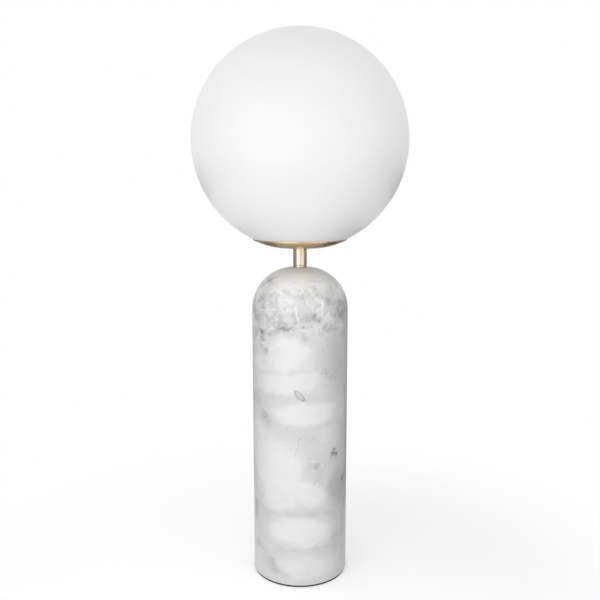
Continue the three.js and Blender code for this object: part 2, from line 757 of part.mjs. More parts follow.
// Leads from the block, down and round into the tube's foot, up it, and out to the holder's posts
function makeLeads() {
  const leadZ = tiePlateBottom - blockHeight + blockPoleHeight;
  const blockFront = -blockLength / 2;
  const low = coverTop + leadDiameter;
  const bendStart = postLeadHeight - leadBend;
  const [farShare, nearShare] = loopReturnShares;
  const halfBend = leadBend * (1 - Math.SQRT1_2);
  const postEnd = postOffset - postWidth / 2 + leadPostDepth;
  const outline = new THREE.EllipseCurve(0, 0, leadDiameter / 2, leadDiameter / 2).getPoints(leadSides);
  const section = new THREE.Shape(outline.slice(0, leadSides));
  const point = (x, y, z) => new THREE.Vector3(x, y, z);
  const leads = [['live', 1, liveLoop, 'brownLead'], ['neutral', -1, neutralLoop, 'blueLead']];
  for (const [name, side, loop, finish] of leads) {
    const poleX = blockOffset - (side * blockPoleSpacing) / 2;
    const inTube = (side * leadSpacing) / 2;
    const loopY = blockFront - loop;
    const route = new LeadRoute(
      [
        point(poleX, blockFront + leadGrip, leadZ),
        point(poleX, blockFront, leadZ),
        point(poleX - leadBend * loopDipShare, loopY, leadZ - leadBend * loopDipShare),
        point((poleX + inTube) / 2, loopY - leadBend * loopTurnShare, (leadZ + low) / 2),
        point(inTube + side * leadBend * loopTurnShare, blockFront * farShare, low),
        point(inTube, blockFront * nearShare, low + leadBend / 2),
        point(inTube, 0, tubeBottom),
        point(inTube, 0, tubeBottom + leadRest),
        point(inTube, 0, tubeTop - leadRest),
        point(inTube, 0, bendStart),
        point(inTube + side * halfBend, 0, postLeadHeight - halfBend),
        point(inTube + side * leadBend, 0, postLeadHeight),
        point(side * postEnd, 0, postLeadHeight),
      ],
      false,
      'centripetal',
    );
    const steps = (route.points.length - 1) * leadStepsPerPoint;
    const lead = new THREE.ExtrudeGeometry(section, { steps, extrudePath: route, bevelEnabled: false });
    addPiece(`${name}_lead`, lead, finish);
  }
}

makeFoot();
makeColumn();
makeCordBushing();
makeTubeAndClamps();
makeTerminalBlock();
makeStemAndDish();
makeClips();
makeHolderCap();
makeHolderInsert();
makeContacts();
makeHolderShell();
makeLeads();
makeBulb();
makeGlobe();

export default lamp;
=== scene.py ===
import json
from collections import namedtuple
from functools import cache
from math import asin, atan2, cos, degrees, hypot, pi, radians, sin, sqrt, tau

import bmesh
import bpy
from mathutils import Matrix, Vector


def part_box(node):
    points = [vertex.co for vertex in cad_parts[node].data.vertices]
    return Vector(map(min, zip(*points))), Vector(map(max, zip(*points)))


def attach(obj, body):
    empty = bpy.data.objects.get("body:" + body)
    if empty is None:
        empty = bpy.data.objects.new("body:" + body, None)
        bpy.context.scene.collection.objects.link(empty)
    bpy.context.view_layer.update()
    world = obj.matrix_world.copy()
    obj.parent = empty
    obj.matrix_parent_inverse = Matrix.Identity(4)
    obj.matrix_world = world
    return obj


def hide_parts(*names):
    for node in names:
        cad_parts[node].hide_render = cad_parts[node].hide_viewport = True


# Glass globe table lamp: the visible pieces and the finishes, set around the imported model.
# Metres, +Z up. The origin is the centre of the foot on the table, and the front faces -Y.

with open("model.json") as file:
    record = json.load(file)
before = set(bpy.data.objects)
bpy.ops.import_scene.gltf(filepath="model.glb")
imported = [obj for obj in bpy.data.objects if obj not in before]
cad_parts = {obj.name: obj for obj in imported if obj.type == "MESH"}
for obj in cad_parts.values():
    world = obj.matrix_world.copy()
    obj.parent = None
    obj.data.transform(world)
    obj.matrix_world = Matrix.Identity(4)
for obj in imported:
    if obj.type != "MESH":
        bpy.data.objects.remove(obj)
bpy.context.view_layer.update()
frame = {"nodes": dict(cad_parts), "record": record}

MM = 0.001

# Turned pieces: faces round the axis, and steps along an arc
ROUND = 160
SMALL_ROUND = 96
TINY_ROUND = 40
FILLET_STEPS = 4
SMOOTH_BELOW = radians(32)  # edges flatter than this are shaded smooth

# Glass globe
GLOBE_WALL = 3 * MM
MOUTH_RADIUS = 33 * MM  # of the inner edge
MOUTH_ROUNDING = 1.1 * MM
GLOBE_STEPS = 72

# Brass dish and stem
PASS_RADIUS = 5.3 * MM  # of the holes round the threaded tube
DISH_FLOOR_RADIUS = 15 * MM
DISH_BOWL_RADIUS = 62.5 * MM
DISH_SHEET = 0.8 * MM
DISH_STEPS = 20
DISH_LIP_ROUNDING = 0.18 * MM
STEM_EDGE = 0.22 * MM
STEM_GROOVE_HEIGHT = 2.1 * MM  # above the stone
STEM_GROOVE = 0.4 * MM  # depth and half width

# Stone column
COLUMN_TOP_RADIUS = 39.4 * MM
COLUMN_EDGE = 0.8 * MM
COLUMN_ARC_STEPS = 40
COLUMN_HEIGHT_CUTS = 24
STONE_BORE = 5.5 * MM
RECESS_RADIUS = 32 * MM
RECESS_CEILING = 25.5 * MM
COVER_SEAT_RADIUS = 35 * MM
PAD_EDGE = 0.35 * MM

# Cord inlet at the back
INLET_HEIGHT = 13.5 * MM
INLET_HOLE_RADIUS = 5.5 * MM
SPOT_FACE_RADIUS = 7.8 * MM
SPOT_FACE_DEPTH = 0.9 * MM
BUSHING_BORE = 3.7 * MM
BUSHING_BODY_RADIUS = 5.2 * MM
BUSHING_FLANGE_RADIUS = 7.5 * MM
BUSHING_FLANGE = 1.6 * MM
BUSHING_EDGE = 0.6 * MM

# Clips in the dish
CLIP_SHEET = 0.5 * MM
CLIP_WIDTH = 8 * MM
CLIP_FOOT_START = 16 * MM
CLIP_FOOT_END = 26 * MM
CLIP_BEND_ROUNDING = 1.6 * MM
CLIP_LEAF_HEIGHT = 15 * MM
CLIP_TIP_INSET = 3.6 * MM
CLIP_BEARING = 32.2 * MM
CLIP_BEND_OUT = 0.7  # share of the leaf's run out to the mouth at which it bends
CLIP_BEND_UP = 0.25  # share of its run up
CLIP_ANGLES = (90, 210, 330)
RIVET_RADIUS = 21 * MM
RIVET_HEAD_RADIUS = 2.5 * MM
RIVET_HEAD_HEIGHT = 1 * MM
SHEET_EDGE = 0.12 * MM

# Lampholder
HOLDER_NECK_RADIUS = 8 * MM
HOLDER_NECK_HEIGHT = 10 * MM
HOLDER_DOME_RADIUS = 12 * MM
HOLDER_WALL = 3 * MM
HOLDER_SKIRT_HEIGHT = 9 * MM
HOLDER_TAPER_HEIGHT = 4 * MM
HOLDER_SLEEVE_RADIUS = 17.2 * MM
HOLDER_LIP = 2 * MM
HOLDER_LIP_RADIUS = 13.9 * MM
HOLDER_SOCKET_RADIUS = 14.5 * MM
HOLDER_INSERT_RADIUS = 18 * MM
HOLDER_EDGE = 0.6 * MM
GRIP_RIBS = 48
FACES_PER_RIB = 8
GRIP_DEPTH = 0.35 * MM
GRUB_HOLE_RADIUS = 1.8 * MM
SOCKET_SHEET = 0.6 * MM
THREAD_PITCH = 3.62 * MM
SOCKET_THREAD = 0.45 * MM  # deep; any deeper and it meets the crests of the bulb's cap
THREAD_CUTS = 110

# Bulb
BULB_NECK_RADIUS = 13.5 * MM
BULB_STEM_RADIUS = 12.3 * MM
BULB_STEM_DEPTH = 4 * MM
BULB_WALL = 1 * MM
BULB_SHOULDER = 30 * MM  # hollow radius between neck and ball
BULB_STEPS = 40
CAP_SHEET = 0.5 * MM
CAP_BEVEL = 1.6 * MM
CAP_THREAD = 0.9 * MM
CAP_PLAIN_RIM = 3 * MM  # between the thread and the glass
CONTACT_RADIUS = 4.8 * MM


@cache
def box(node):
    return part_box(node)


def lowest(node):
    return box(node)[0].z


def highest(node):
    return box(node)[1].z


def radius_of(node):
    return box(node)[1].x


class Outline:
    """Half the section of a turned piece, drawn as a wire with X as its radius and Z as its height."""

    def __init__(self, radius, height, fillet=0):
        self.mesh = bmesh.new()
        self.fillets = []
        self.first = self.last = self.corner(radius, height, fillet)

    def corner(self, radius, height, fillet):
        vert = self.mesh.verts.new((radius, 0, height))
        if fillet:
            self.fillets.append((vert, fillet))
        return vert

    def to(self, radius, height, fillet=0, cuts=0):
        """A straight line to a corner. The line is divided by its cuts, the corner rounded by its fillet."""
        start, end = self.last.co.copy(), Vector((radius, 0, height))
        for step in range(1, cuts + 2):
            x, _, z = start.lerp(end, step / (cuts + 1))
            added = self.corner(x, z, fillet if step > cuts else 0)
            self.mesh.edges.new((self.last, added))
            self.last = added
        return self

    def swing(self, radius, height, turn, steps, fillet=0):
        """An arc about a centre. A positive turn runs from the top outwards and down."""
        swung = bmesh.ops.spin(
            self.mesh, geom=[self.last], cent=(radius, 0, height), axis=(0, 1, 0), angle=turn, steps=steps
        )
        self.last = swung["geom_last"][0]
        if fillet:
            self.fillets.append((self.last, fillet))
        return self

    def closed(self):
        self.mesh.edges.new((self.last, self.first))
        return self

    def rounded(self):
        for vert, fillet in self.fillets:
            bmesh.ops.bevel(
                self.mesh, geom=[vert], offset=fillet, segments=FILLET_STEPS, profile=0.5,
                affect="VERTICES", material=-1,
            )
        return self.mesh

    def turned(self, segments=ROUND):
        """The solid of revolution about Z."""
        mesh = self.rounded()
        bmesh.ops.spin(
            mesh, geom=mesh.verts[:] + mesh.edges[:], cent=(0, 0, 0), axis=(0, 0, 1), angle=tau,
            steps=segments, use_merge=True,
        )
        bmesh.ops.remove_doubles(mesh, verts=mesh.verts[:], dist=0.001 * MM)
        bmesh.ops.recalc_face_normals(mesh, faces=mesh.faces[:])
        return mesh


def shade(data):
    data.shade_smooth()
    data.set_sharp_from_angle(angle=SMOOTH_BELOW)


def add_piece(name, mesh, finish, body, slot, *nodes):
    """Makes a visible piece of a finished mesh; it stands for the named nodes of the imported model."""
    data = bpy.data.meshes.new(name)
    mesh.to_mesh(data)
    mesh.free()
    shade(data)
    data.materials.append(finish)
    piece = bpy.data.objects.new(name, data)
    bpy.context.scene.collection.objects.link(piece)
    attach(piece, body)
    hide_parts(*nodes)
    return piece


def bake_modifiers(piece):
    """Puts what the piece's modifiers made into its mesh."""
    graph = bpy.context.evaluated_depsgraph_get()
    made = bpy.data.meshes.new_from_object(piece.evaluated_get(graph))
    piece.modifiers.clear()
    piece.data = made
    shade(made)


def drill(piece, radius, start, end, height):
    """Bores a round hole along Y, from one Y to another."""
    mesh = bmesh.new()
    bmesh.ops.create_cone(
        mesh, cap_ends=True, segments=SMALL_ROUND, radius1=radius, radius2=radius, depth=end - start
    )
    bmesh.ops.rotate(mesh, verts=mesh.verts[:], cent=(0, 0, 0), matrix=Matrix.Rotation(pi / 2, 3, "X"))
    bmesh.ops.translate(mesh, verts=mesh.verts[:], vec=(0, (start + end) / 2, height))
    data = bpy.data.meshes.new("drill")
    mesh.to_mesh(data)
    mesh.free()
    cutter = bpy.data.objects.new("drill", data)
    bpy.context.scene.collection.objects.link(cutter)
    cut = piece.modifiers.new("hole", "BOOLEAN")
    cut.operation = "DIFFERENCE"
    cut.object = cutter
    bake_modifiers(piece)
    bpy.data.objects.remove(cutter)


def cut_thread(mesh, low, high, radius, depth):
    """Winds a round thread inwards into the walls within its depth of a radius, between two heights."""
    for vert in mesh.verts:
        x, y, z = vert.co
        distance = hypot(x, y)
        if not low < z < high or abs(distance - radius) > depth:
            continue
        runout = min(1, (z - low) / THREAD_PITCH, (high - z) / THREAD_PITCH)
        wave = (1 - cos(tau * z / THREAD_PITCH - atan2(y, x))) / 2
        scale = 1 - depth * runout * wave / distance
        vert.co = (x * scale, y * scale, z)


class Wire:
    """An output in a material's node tree. Arithmetic on it adds Math nodes."""

    def __init__(self, tree, socket):
        self.tree = tree
        self.socket = socket

    def feed(self, socket):
        self.tree.links.new(self.socket, socket)

    def node(self, kind, settings=None, inputs=None, output=0):
        """Adds a node: first its settings, then the values or links of its sockets."""
        added = self.tree.nodes.new("ShaderNode" + kind)
        for setting, value in (settings or {}).items():
            setattr(added, setting, value)
        for key, value in (inputs or {}).items():
            if isinstance(value, Wire):
                value.feed(added.inputs[key])
            else:
                added.inputs[key].default_value = value
        return Wire(self.tree, added.outputs[output])

    def math(self, operation, *values):
        return self.node("Math", {"operation": operation}, dict(enumerate(values)))

    def __add__(self, other):
        return self.math("ADD", self, other)

    def __radd__(self, other):
        return self.math("ADD", other, self)

    def __sub__(self, other):
        return self.math("SUBTRACT", self, other)

    def __rsub__(self, other):
        return self.math("SUBTRACT", other, self)

    def __mul__(self, other):
        return self.math("MULTIPLY", self, other)

    def __rmul__(self, other):
        return self.math("MULTIPLY", other, self)

    def __truediv__(self, other):
        return self.math("DIVIDE", self, other)

    def __pow__(self, power):
        return self.math("POWER", self, power)

    def __abs__(self):
        return self.math("ABSOLUTE", self)

    def most(self, other):
        return self.math("MAXIMUM", self, other)

    def rise(self, start, end):
        """Runs smoothly from 0 at start to 1 at end, or falls where end is the lower of the two."""
        limits = {"Value": self, "From Min": start, "From Max": end}
        return self.node("MapRange", {"interpolation_type": "SMOOTHSTEP"}, limits)

    def mixed(self, low, high):
        """A colour between two others, with this value as the share of the second."""
        return self.node("Mix", {"data_type": "RGBA"}, {0: self, 6: colour(low), 7: colour(high)}, 2)

    def vector(self, operation, *values):
        return self.node("VectorMath", {"operation": operation}, dict(enumerate(values)))

    def stretched(self, x, y, z):
        return self.vector("MULTIPLY", self, (x, y, z))

    def split(self):
        added = self.tree.nodes.new("ShaderNodeSeparateXYZ")
        self.feed(added.inputs[0])
        return [Wire(self.tree, output) for output in added.outputs]

    def joined(self, x, y, z):
        return self.node("CombineXYZ", None, {0: x, 1: y, 2: z})

    def noise(self, scale, detail=2, roughness=0.5, output=0, **more):
        inputs = {"Vector": self, "Scale": scale, "Detail": detail, "Roughness": roughness}
        return self.node("TexNoise", more, inputs, output)

    def cells(self, scale, output=0, **settings):
        return self.node("TexVoronoi", settings, {"Vector": self, "Scale": scale}, output)

    def wandering(self, scale, reach, detail=2):
        """These coordinates, moved about by up to half the reach."""
        drift = self.noise(scale, detail, output=1)
        shift = drift.vector("MULTIPLY_ADD", drift, (reach,) * 3, (-reach / 2,) * 3)
        return shift.vector("ADD", self, shift)

    def bump(self, distance, strength=1):
        """A surface normal on which this value is the height."""
        return self.node("Bump", None, {"Height": self, "Distance": distance, "Strength": strength})


def colour(value):
    if isinstance(value, Wire) or len(value) == 4:
        return value
    return (*value, 1)


class Finish:
    """A material. Its place is the piece's own coordinates, in metres."""

    def __init__(self, name):
        self.material = bpy.data.materials.new(name)
        self.material.use_nodes = True
        tree = self.material.node_tree
        self.shader = tree.nodes["Principled BSDF"]
        coordinates = tree.nodes.new("ShaderNodeTexCoord")
        self.place = Wire(tree, coordinates.outputs["Object"])

    def set(self, sockets):
        for name, value in sockets.items():
            socket = self.shader.inputs[name]
            if isinstance(value, Wire):
                value.feed(socket)
            else:
                socket.default_value = colour(value) if socket.type == "RGBA" else value
        return self.material


def opal_glass():
    """White opal glass, etched to a satin surface."""
    finish = Finish("opal_glass")
    clouds = finish.place.noise(scale=24, detail=3)
    etching = finish.place.noise(scale=2600, detail=2)
    waves = finish.place.noise(scale=30, detail=1)
    return finish.set({
        "Base Color": clouds.rise(0.3, 0.7).mixed((0.925, 0.925, 0.922), (0.945, 0.945, 0.943)),
        "Roughness": 0.34 + 0.08 * etching,
        "Normal": (etching + 8 * waves).bump(distance=0.01 * MM, strength=0.5),
        "IOR": 1.5,
        "Subsurface Weight": 0.6,
        "Subsurface Scale": 3 * MM,
        "Subsurface Radius": (1.0, 1.0, 1.0),
    })


def brushed_brass(name, pale, deep, roughness):
    """Pale brass, brushed round the axis and lacquered."""
    finish = Finish(name)
    x, y, z = finish.place.split()
    ring = (x * x + y * y) ** 0.5
    along = finish.place.joined(ring * 1000, z * 1000, 1.5 * x / ring)
    lay = {"Vector": along, "W": 1.5 * y / ring, "Scale": 2.2, "Detail": 4, "Roughness": 0.6}
    grooves = along.node("TexNoise", {"noise_dimensions": "4D"}, lay)
    handling = finish.place.noise(scale=55, detail=3)
    return finish.set({
        "Base Color": (grooves.rise(0.25, 0.75) * 0.6 + handling * 0.4).mixed(deep, pale),
        "Metallic": 1.0,
        "Roughness": roughness + 0.08 * grooves + 0.05 * handling,
        "Anisotropic": 0.5,
        "Anisotropic Rotation": 0.25,
        "Coat Weight": 0.15,
        "Coat Roughness": 0.18,
        "Normal": grooves.bump(distance=0.001 * MM, strength=0.5),
    })


# Markings of the stone's front, with their angle round the column to the right of the front, in
# degrees, their height, half width and half height in millimetres, their tilt in degrees
# anticlockwise, and their strength
Mark = namedtuple("Mark", "angle height wide tall tilt strength")
# Paler, clean zones of the stone; two of them on the dome are painted light
CLEAN_ZONES_AND_PAINTED_LIGHT = (
    Mark(-28, 111, 34, 47, 14, 1.0),
    Mark(8, 94, 27, 15, -30, 1.0),
    Mark(0, 55, 42, 19, 0, 1.0),
    Mark(8, 169, 40, 14, 2, 1.0),
    Mark(-18, 198, 40, 13, 4, 0.9),
    Mark(-14, 224, 28, 23, 0, 1.0),
    Mark(6, 19, 36, 15, -6, 0.6),
    # Painted highlight: a paler zone where the front-left lamp's highlight falls on the dome
    Mark(-11, 273, 14, 13, 0, 0.6),
    # Painted light: a paler zone over the dome's top, lifting the shade that the dish and globe cast
    Mark(0, 291, 44, 20, 0, 1.0),
    Mark(22, 270, 14, 12, 0, 0.5),
    Mark(-62, 140, 20, 26, 0, 0.8),
    Mark(-54, 214, 18, 10, 0, 0.7),
    Mark(56, 172, 18, 14, 0, 0.4),
    Mark(40, 146, 18, 14, 0, 0.4),
)
# Grey clouds of the stone, and painted shade on its right side
CLOUDS_AND_PAINTED_SHADE = (
    Mark(44, 216, 18, 32, 12, 0.07),
    Mark(40, 236, 14, 10, 0, 0.05),
    Mark(-64, 178, 14, 9, -20, 0.09),
    Mark(-44, 164, 11, 7, -35, 0.09),
    Mark(50, 92, 17, 24, 0, 0.13),
    Mark(-68, 68, 10, 15, 0, 0.14),
    Mark(-62, 33, 12, 8, 0, 0.12),
    Mark(0, 73, 44, 4.5, -1, 0.025),
    Mark(6, 37.5, 44, 4.5, 2, 0.03),
    Mark(-34, 17, 13, 8, -30, 0.09),
    Mark(20, 116, 14, 15, 20, 0.03),
    Mark(17, 119.5, 9, 6.5, 0, 0.05),
    Mark(-22, 252, 17, 7, 0, 0.10),
    Mark(14, 256, 16, 8, 0, 0.08),
    Mark(-52, 254, 12, 22, 0, 0.10),
    Mark(57, 262, 18, 14, 0, 0.16),
    Mark(50, 40, 10, 20, 0, 0.06),
    # Painted shade: a tall grey cloud down the lower right side
    Mark(70, 60, 16, 70, 0, 0.08),
)
MOTTLES = (
    Mark(-60, 288, 16, 8, 15, 1.0),
    Mark(-56, 277, 8, 15, -25, 1.0),
    Mark(-68, 260, 8, 16, 0, 0.8),
    Mark(-66, 241, 8, 12, 0, 0.7),
    Mark(-52, 242, 9, 6, 0, 1.0),
    Mark(-46, 231, 6, 17, 28, 1.0),
    Mark(-29, 256, 13, 8, 20, 0.8),
    Mark(-19, 247.5, 22, 5.5, 8, 0.5),
    Mark(-36, 243, 10, 4, 15, 0.6),
    Mark(8, 250.3, 12, 2.2, 0, 0.4),
    Mark(4, 280, 8, 8, -30, 0.4),
    Mark(34, 273, 9, 6, -25, 0.8),
    Mark(50, 268, 9, 6, 0, 0.5),
    Mark(55, 258, 11, 8, 0, 0.6),
    Mark(20, 259, 8, 8, 30, 0.4),
    Mark(4, 239, 8, 6, 0, 0.35),
    Mark(38, 248, 16, 6, -10, 0.6),
    Mark(60, 240, 10, 9, 0, 0.6),
    Mark(17, 120, 10, 7, 0, 0.4),
    Mark(21, 101, 7, 13, -20, 0.35),
    Mark(45, 128, 7, 8, 35, 1.6),
    Mark(65, 100, 9, 14, 0, 0.9),
    Mark(-36, 23, 9, 6, -35, 0.5),
    Mark(-27, 13, 12, 5, -20, 0.4),
    Mark(30, 207, 6, 6, 30, 0.6),
    Mark(-48, 163, 12, 9, -30, 0.4),
)
VEINED = (  # patches of fine dark streaks
    Mark(-17, 248.3, 18, 3.6, 6, 1.2),
    Mark(-30, 245.8, 9, 3.4, 8, 1.0),
    Mark(6, 250.3, 10, 2.2, 0, 1.2),
    Mark(-51, 239, 5, 7, 0, 1.0),
)
SPOTS = (
    Mark(-1.2, 287.4, 0.9, 0.9, 0, 1.0),
    Mark(6.8, 282, 1.0, 1.3, 0, 1.1),
    Mark(2.5, 276.2, 1.6, 2.0, -30, 0.9),
    Mark(21.8, 278.1, 1.0, 1.0, 0, 1.4),
    Mark(35, 273, 1.8, 1.6, 0, 1.2),
    Mark(66.5, 275.4, 1.6, 1.3, 0, 1.0),
    Mark(49.5, 264.2, 1.4, 1.6, 0, 1.2),
    Mark(15.9, 258.9, 1.1, 1.1, 0, 0.9),
    Mark(21.2, 255.2, 1.8, 1.6, 20, 1.2),
    Mark(-42.2, 250.2, 1.0, 1.0, 0, 0.9),
    Mark(32, 206, 1.6, 1.8, 30, 0.9),
    Mark(-16, 156, 1.4, 0.9, 10, 0.7),
    Mark(44.5, 131.5, 2.0, 3.2, 20, 1.7),
    Mark(48.5, 126.5, 2.4, 3.6, 10, 1.8),
    Mark(40.7, 123.5, 1.5, 1.3, 0, 0.9),
    Mark(64, 97, 2.4, 5.0, 0, 0.9),
    Mark(-39, 24, 1.6, 1.4, 0, 0.6),
    Mark(-26, 15, 1.8, 1.6, 0, 0.5),
    Mark(-16, 12, 1.8, 1.6, 0, 0.5),
    Mark(48, 40, 1.6, 1.3, 0, 0.5),
)
# Small white marks of the stone; on the dome some are painted light
WHITE_MARKS_AND_PAINTED_LIGHT = (
    # Painted light: a pale patch over the dome's top, lifting the shade that the dish and globe cast
    Mark(-2, 293, 34, 16, 0, 0.6),
    # Painted highlight: two pale marks where the front-left lamp's highlight falls on the dome
    Mark(-12, 273.5, 5, 6, 0, 0.6),
    Mark(-15, 272.8, 5, 6, 0, 0.5),
    Mark(-34, 248, 6, 1.6, 10, 0.6),
    Mark(-37, 178.6, 1.4, 1.4, 0, 0.9),
    Mark(-8, 7.5, 1.8, 1.0, 0, 0.8),
)

# Lines on the stone: the angle and height of each of their points, and their half thickness
PALE_LINES = (
    (((-58, 262.9), (-46.4, 263.7), (-37.5, 265.0), (-24.8, 266.0)), 1.1),
    (((-32.2, 278), (-32.2, 270)), 1.0),
    (((-26.5, 279), (-26.5, 271)), 1.0),
    (((-49, 279.2), (-34.9, 281.8), (-24.2, 283.7)), 0.9),
    (((0.3, 286.6), (6.6, 279.3), (10.2, 266.4)), 1.0),
    (((-5.6, 271.9), (-1.9, 250.7)), 1.4),
    (((27.2, 278.8), (26.7, 254.3)), 1.0),
    (((9.0, 118), (9.0, 124.2), (26, 123), (27.5, 116)), 0.9),
    (((15.7, 117.1), (16.8, 111.6)), 0.9),
    (((20.5, 103.3), (22.9, 98.1)), 0.9),
)
CRACKS = (
    (((2, 149), (-3, 142.5), (-1, 138.5), (-5, 134), (-6, 128)), 0.6),
    (((28, 252), (28, 246), (38, 243.5), (43, 246)), 0.5),
    (((-6.5, 188.5), (-4.6, 186.3), (-1.3, 182.6), (0.5, 181.8)), 0.5),
    (((-34, 245), (-24, 246.5), (-16, 249.5), (-8, 249), (-5, 250)), 0.6),
    (((0, 250), (9, 251), (17, 250)), 0.5),
)
BANDS = (
    (((-48, 69.5), (-24, 72.3), (0, 73.5), (24, 72.5), (48, 69.5)), 2.4),
    (((-56, 26), (-28, 34), (0, 38), (24, 38), (48, 36)), 1.8),
)
LOOP = Mark(-0.5, 187, 11.5, 3.8, -46, 1.0)

# The stone's lightness: how much light the plain grey stone gives back, and what each marking adds or takes
BARE_STONE = 0.68
CLEAN_AND_PAINTED_LIGHT_GAIN = 0.14
CLOUD_CONTRAST = 0.11
SMOKE_CONTRAST = 0.16
VEIL_CONTRAST = 0.07
SEAM_GAIN = 0.14
SCRATCH_GAIN = 0.15
FACET_CONTRAST = 0.17
DARK_GRAIN = 0.18
SPECKLE = 0.14
PATCH = 0.28
SPOT = 0.24
CRACK = 0.30
LOOP_LINE = 0.34
VEIN = 0.10
BAND = 0.035
WHITE_MARK_AND_PAINTED_LIGHT_GAIN = 0.22
PALE_LINE_GAIN = 0.15
FINE_GRAIN = 0.03

BLOCK_SCALE = 125  # broken crystals in a metre
CRYSTALS_START = (0.236, 0.248)  # heights between which the crystalline zone sets in
CRYSTALS_END = (0.300, 0.282)  # and fades out again below the top
PAINTED_COOL_HEIGHTS = (0.282, 0.302)  # heights between which a painted cool tint sets in, offsetting the brass's warm light on the stone
STONE_WHITE = (1.0, 1.0, 0.995)
# Painted cool white for the top, set against the warm light reflected from the brass
PAINTED_COOL_WHITE = (0.90, 0.96, 1.0)
STONE_BLACK = (0.0, 0.004, 0.008)
STONE_HEIGHT = 301.5  # in millimetres; what is turned upside down at the back keeps this sum


def on_stone(angle, height):
    """The point on the column's surface at an angle in degrees and a height in millimetres."""
    radius = radius_of("stone_column")
    above = height * MM - (highest("stone_column") - COLUMN_TOP_RADIUS)
    if above > 0:
        radius += sqrt(COLUMN_TOP_RADIUS**2 - above**2) - COLUMN_TOP_RADIUS
    turn = radians(angle)
    return Vector((radius * sin(turn), -radius * cos(turn), height * MM))


def nearness(place, mark):
    """1 at a mark's centre and 0 from its edge outwards."""
    deep = max(mark.wide, mark.tall)
    lens = {
        "Vector": place,
        "Location": on_stone(mark.angle, mark.height),
        "Rotation": (0, -radians(mark.tilt), radians(mark.angle)),
        "Scale": (mark.wide * MM, deep * MM, mark.tall * MM),
    }
    inside = place.node("Mapping", {"vector_type": "TEXTURE"}, lens)
    return inside.node("TexGradient", {"gradient_type": "SPHERICAL"}, {"Vector": inside}, 1)


def all_marks(place, marks, solid, ragged=0):
    """How strongly a place is marked; a mark fades from its solid share out to its edge."""
    total = None
    for mark in marks:
        shown = (nearness(place, mark) + ragged).rise(0, 1 - solid) * mark.strength
        total = shown if total is None else total.most(shown)
    return total


def line_marks(lines):
    """Thin marks end to end along the points of each line."""
    radius = radius_of("stone_column") / MM
    marks = []
    for points, thickness in lines:
        for (from_angle, from_height), (to_angle, to_height) in zip(points, points[1:]):
            across = radians(to_angle - from_angle) * radius
            up = to_height - from_height
            middle = ((from_angle + to_angle) / 2, (from_height + to_height) / 2)
            marks.append(Mark(*middle, 0.6 * hypot(across, up), thickness, degrees(atan2(up, across)), 1.0))
    return marks


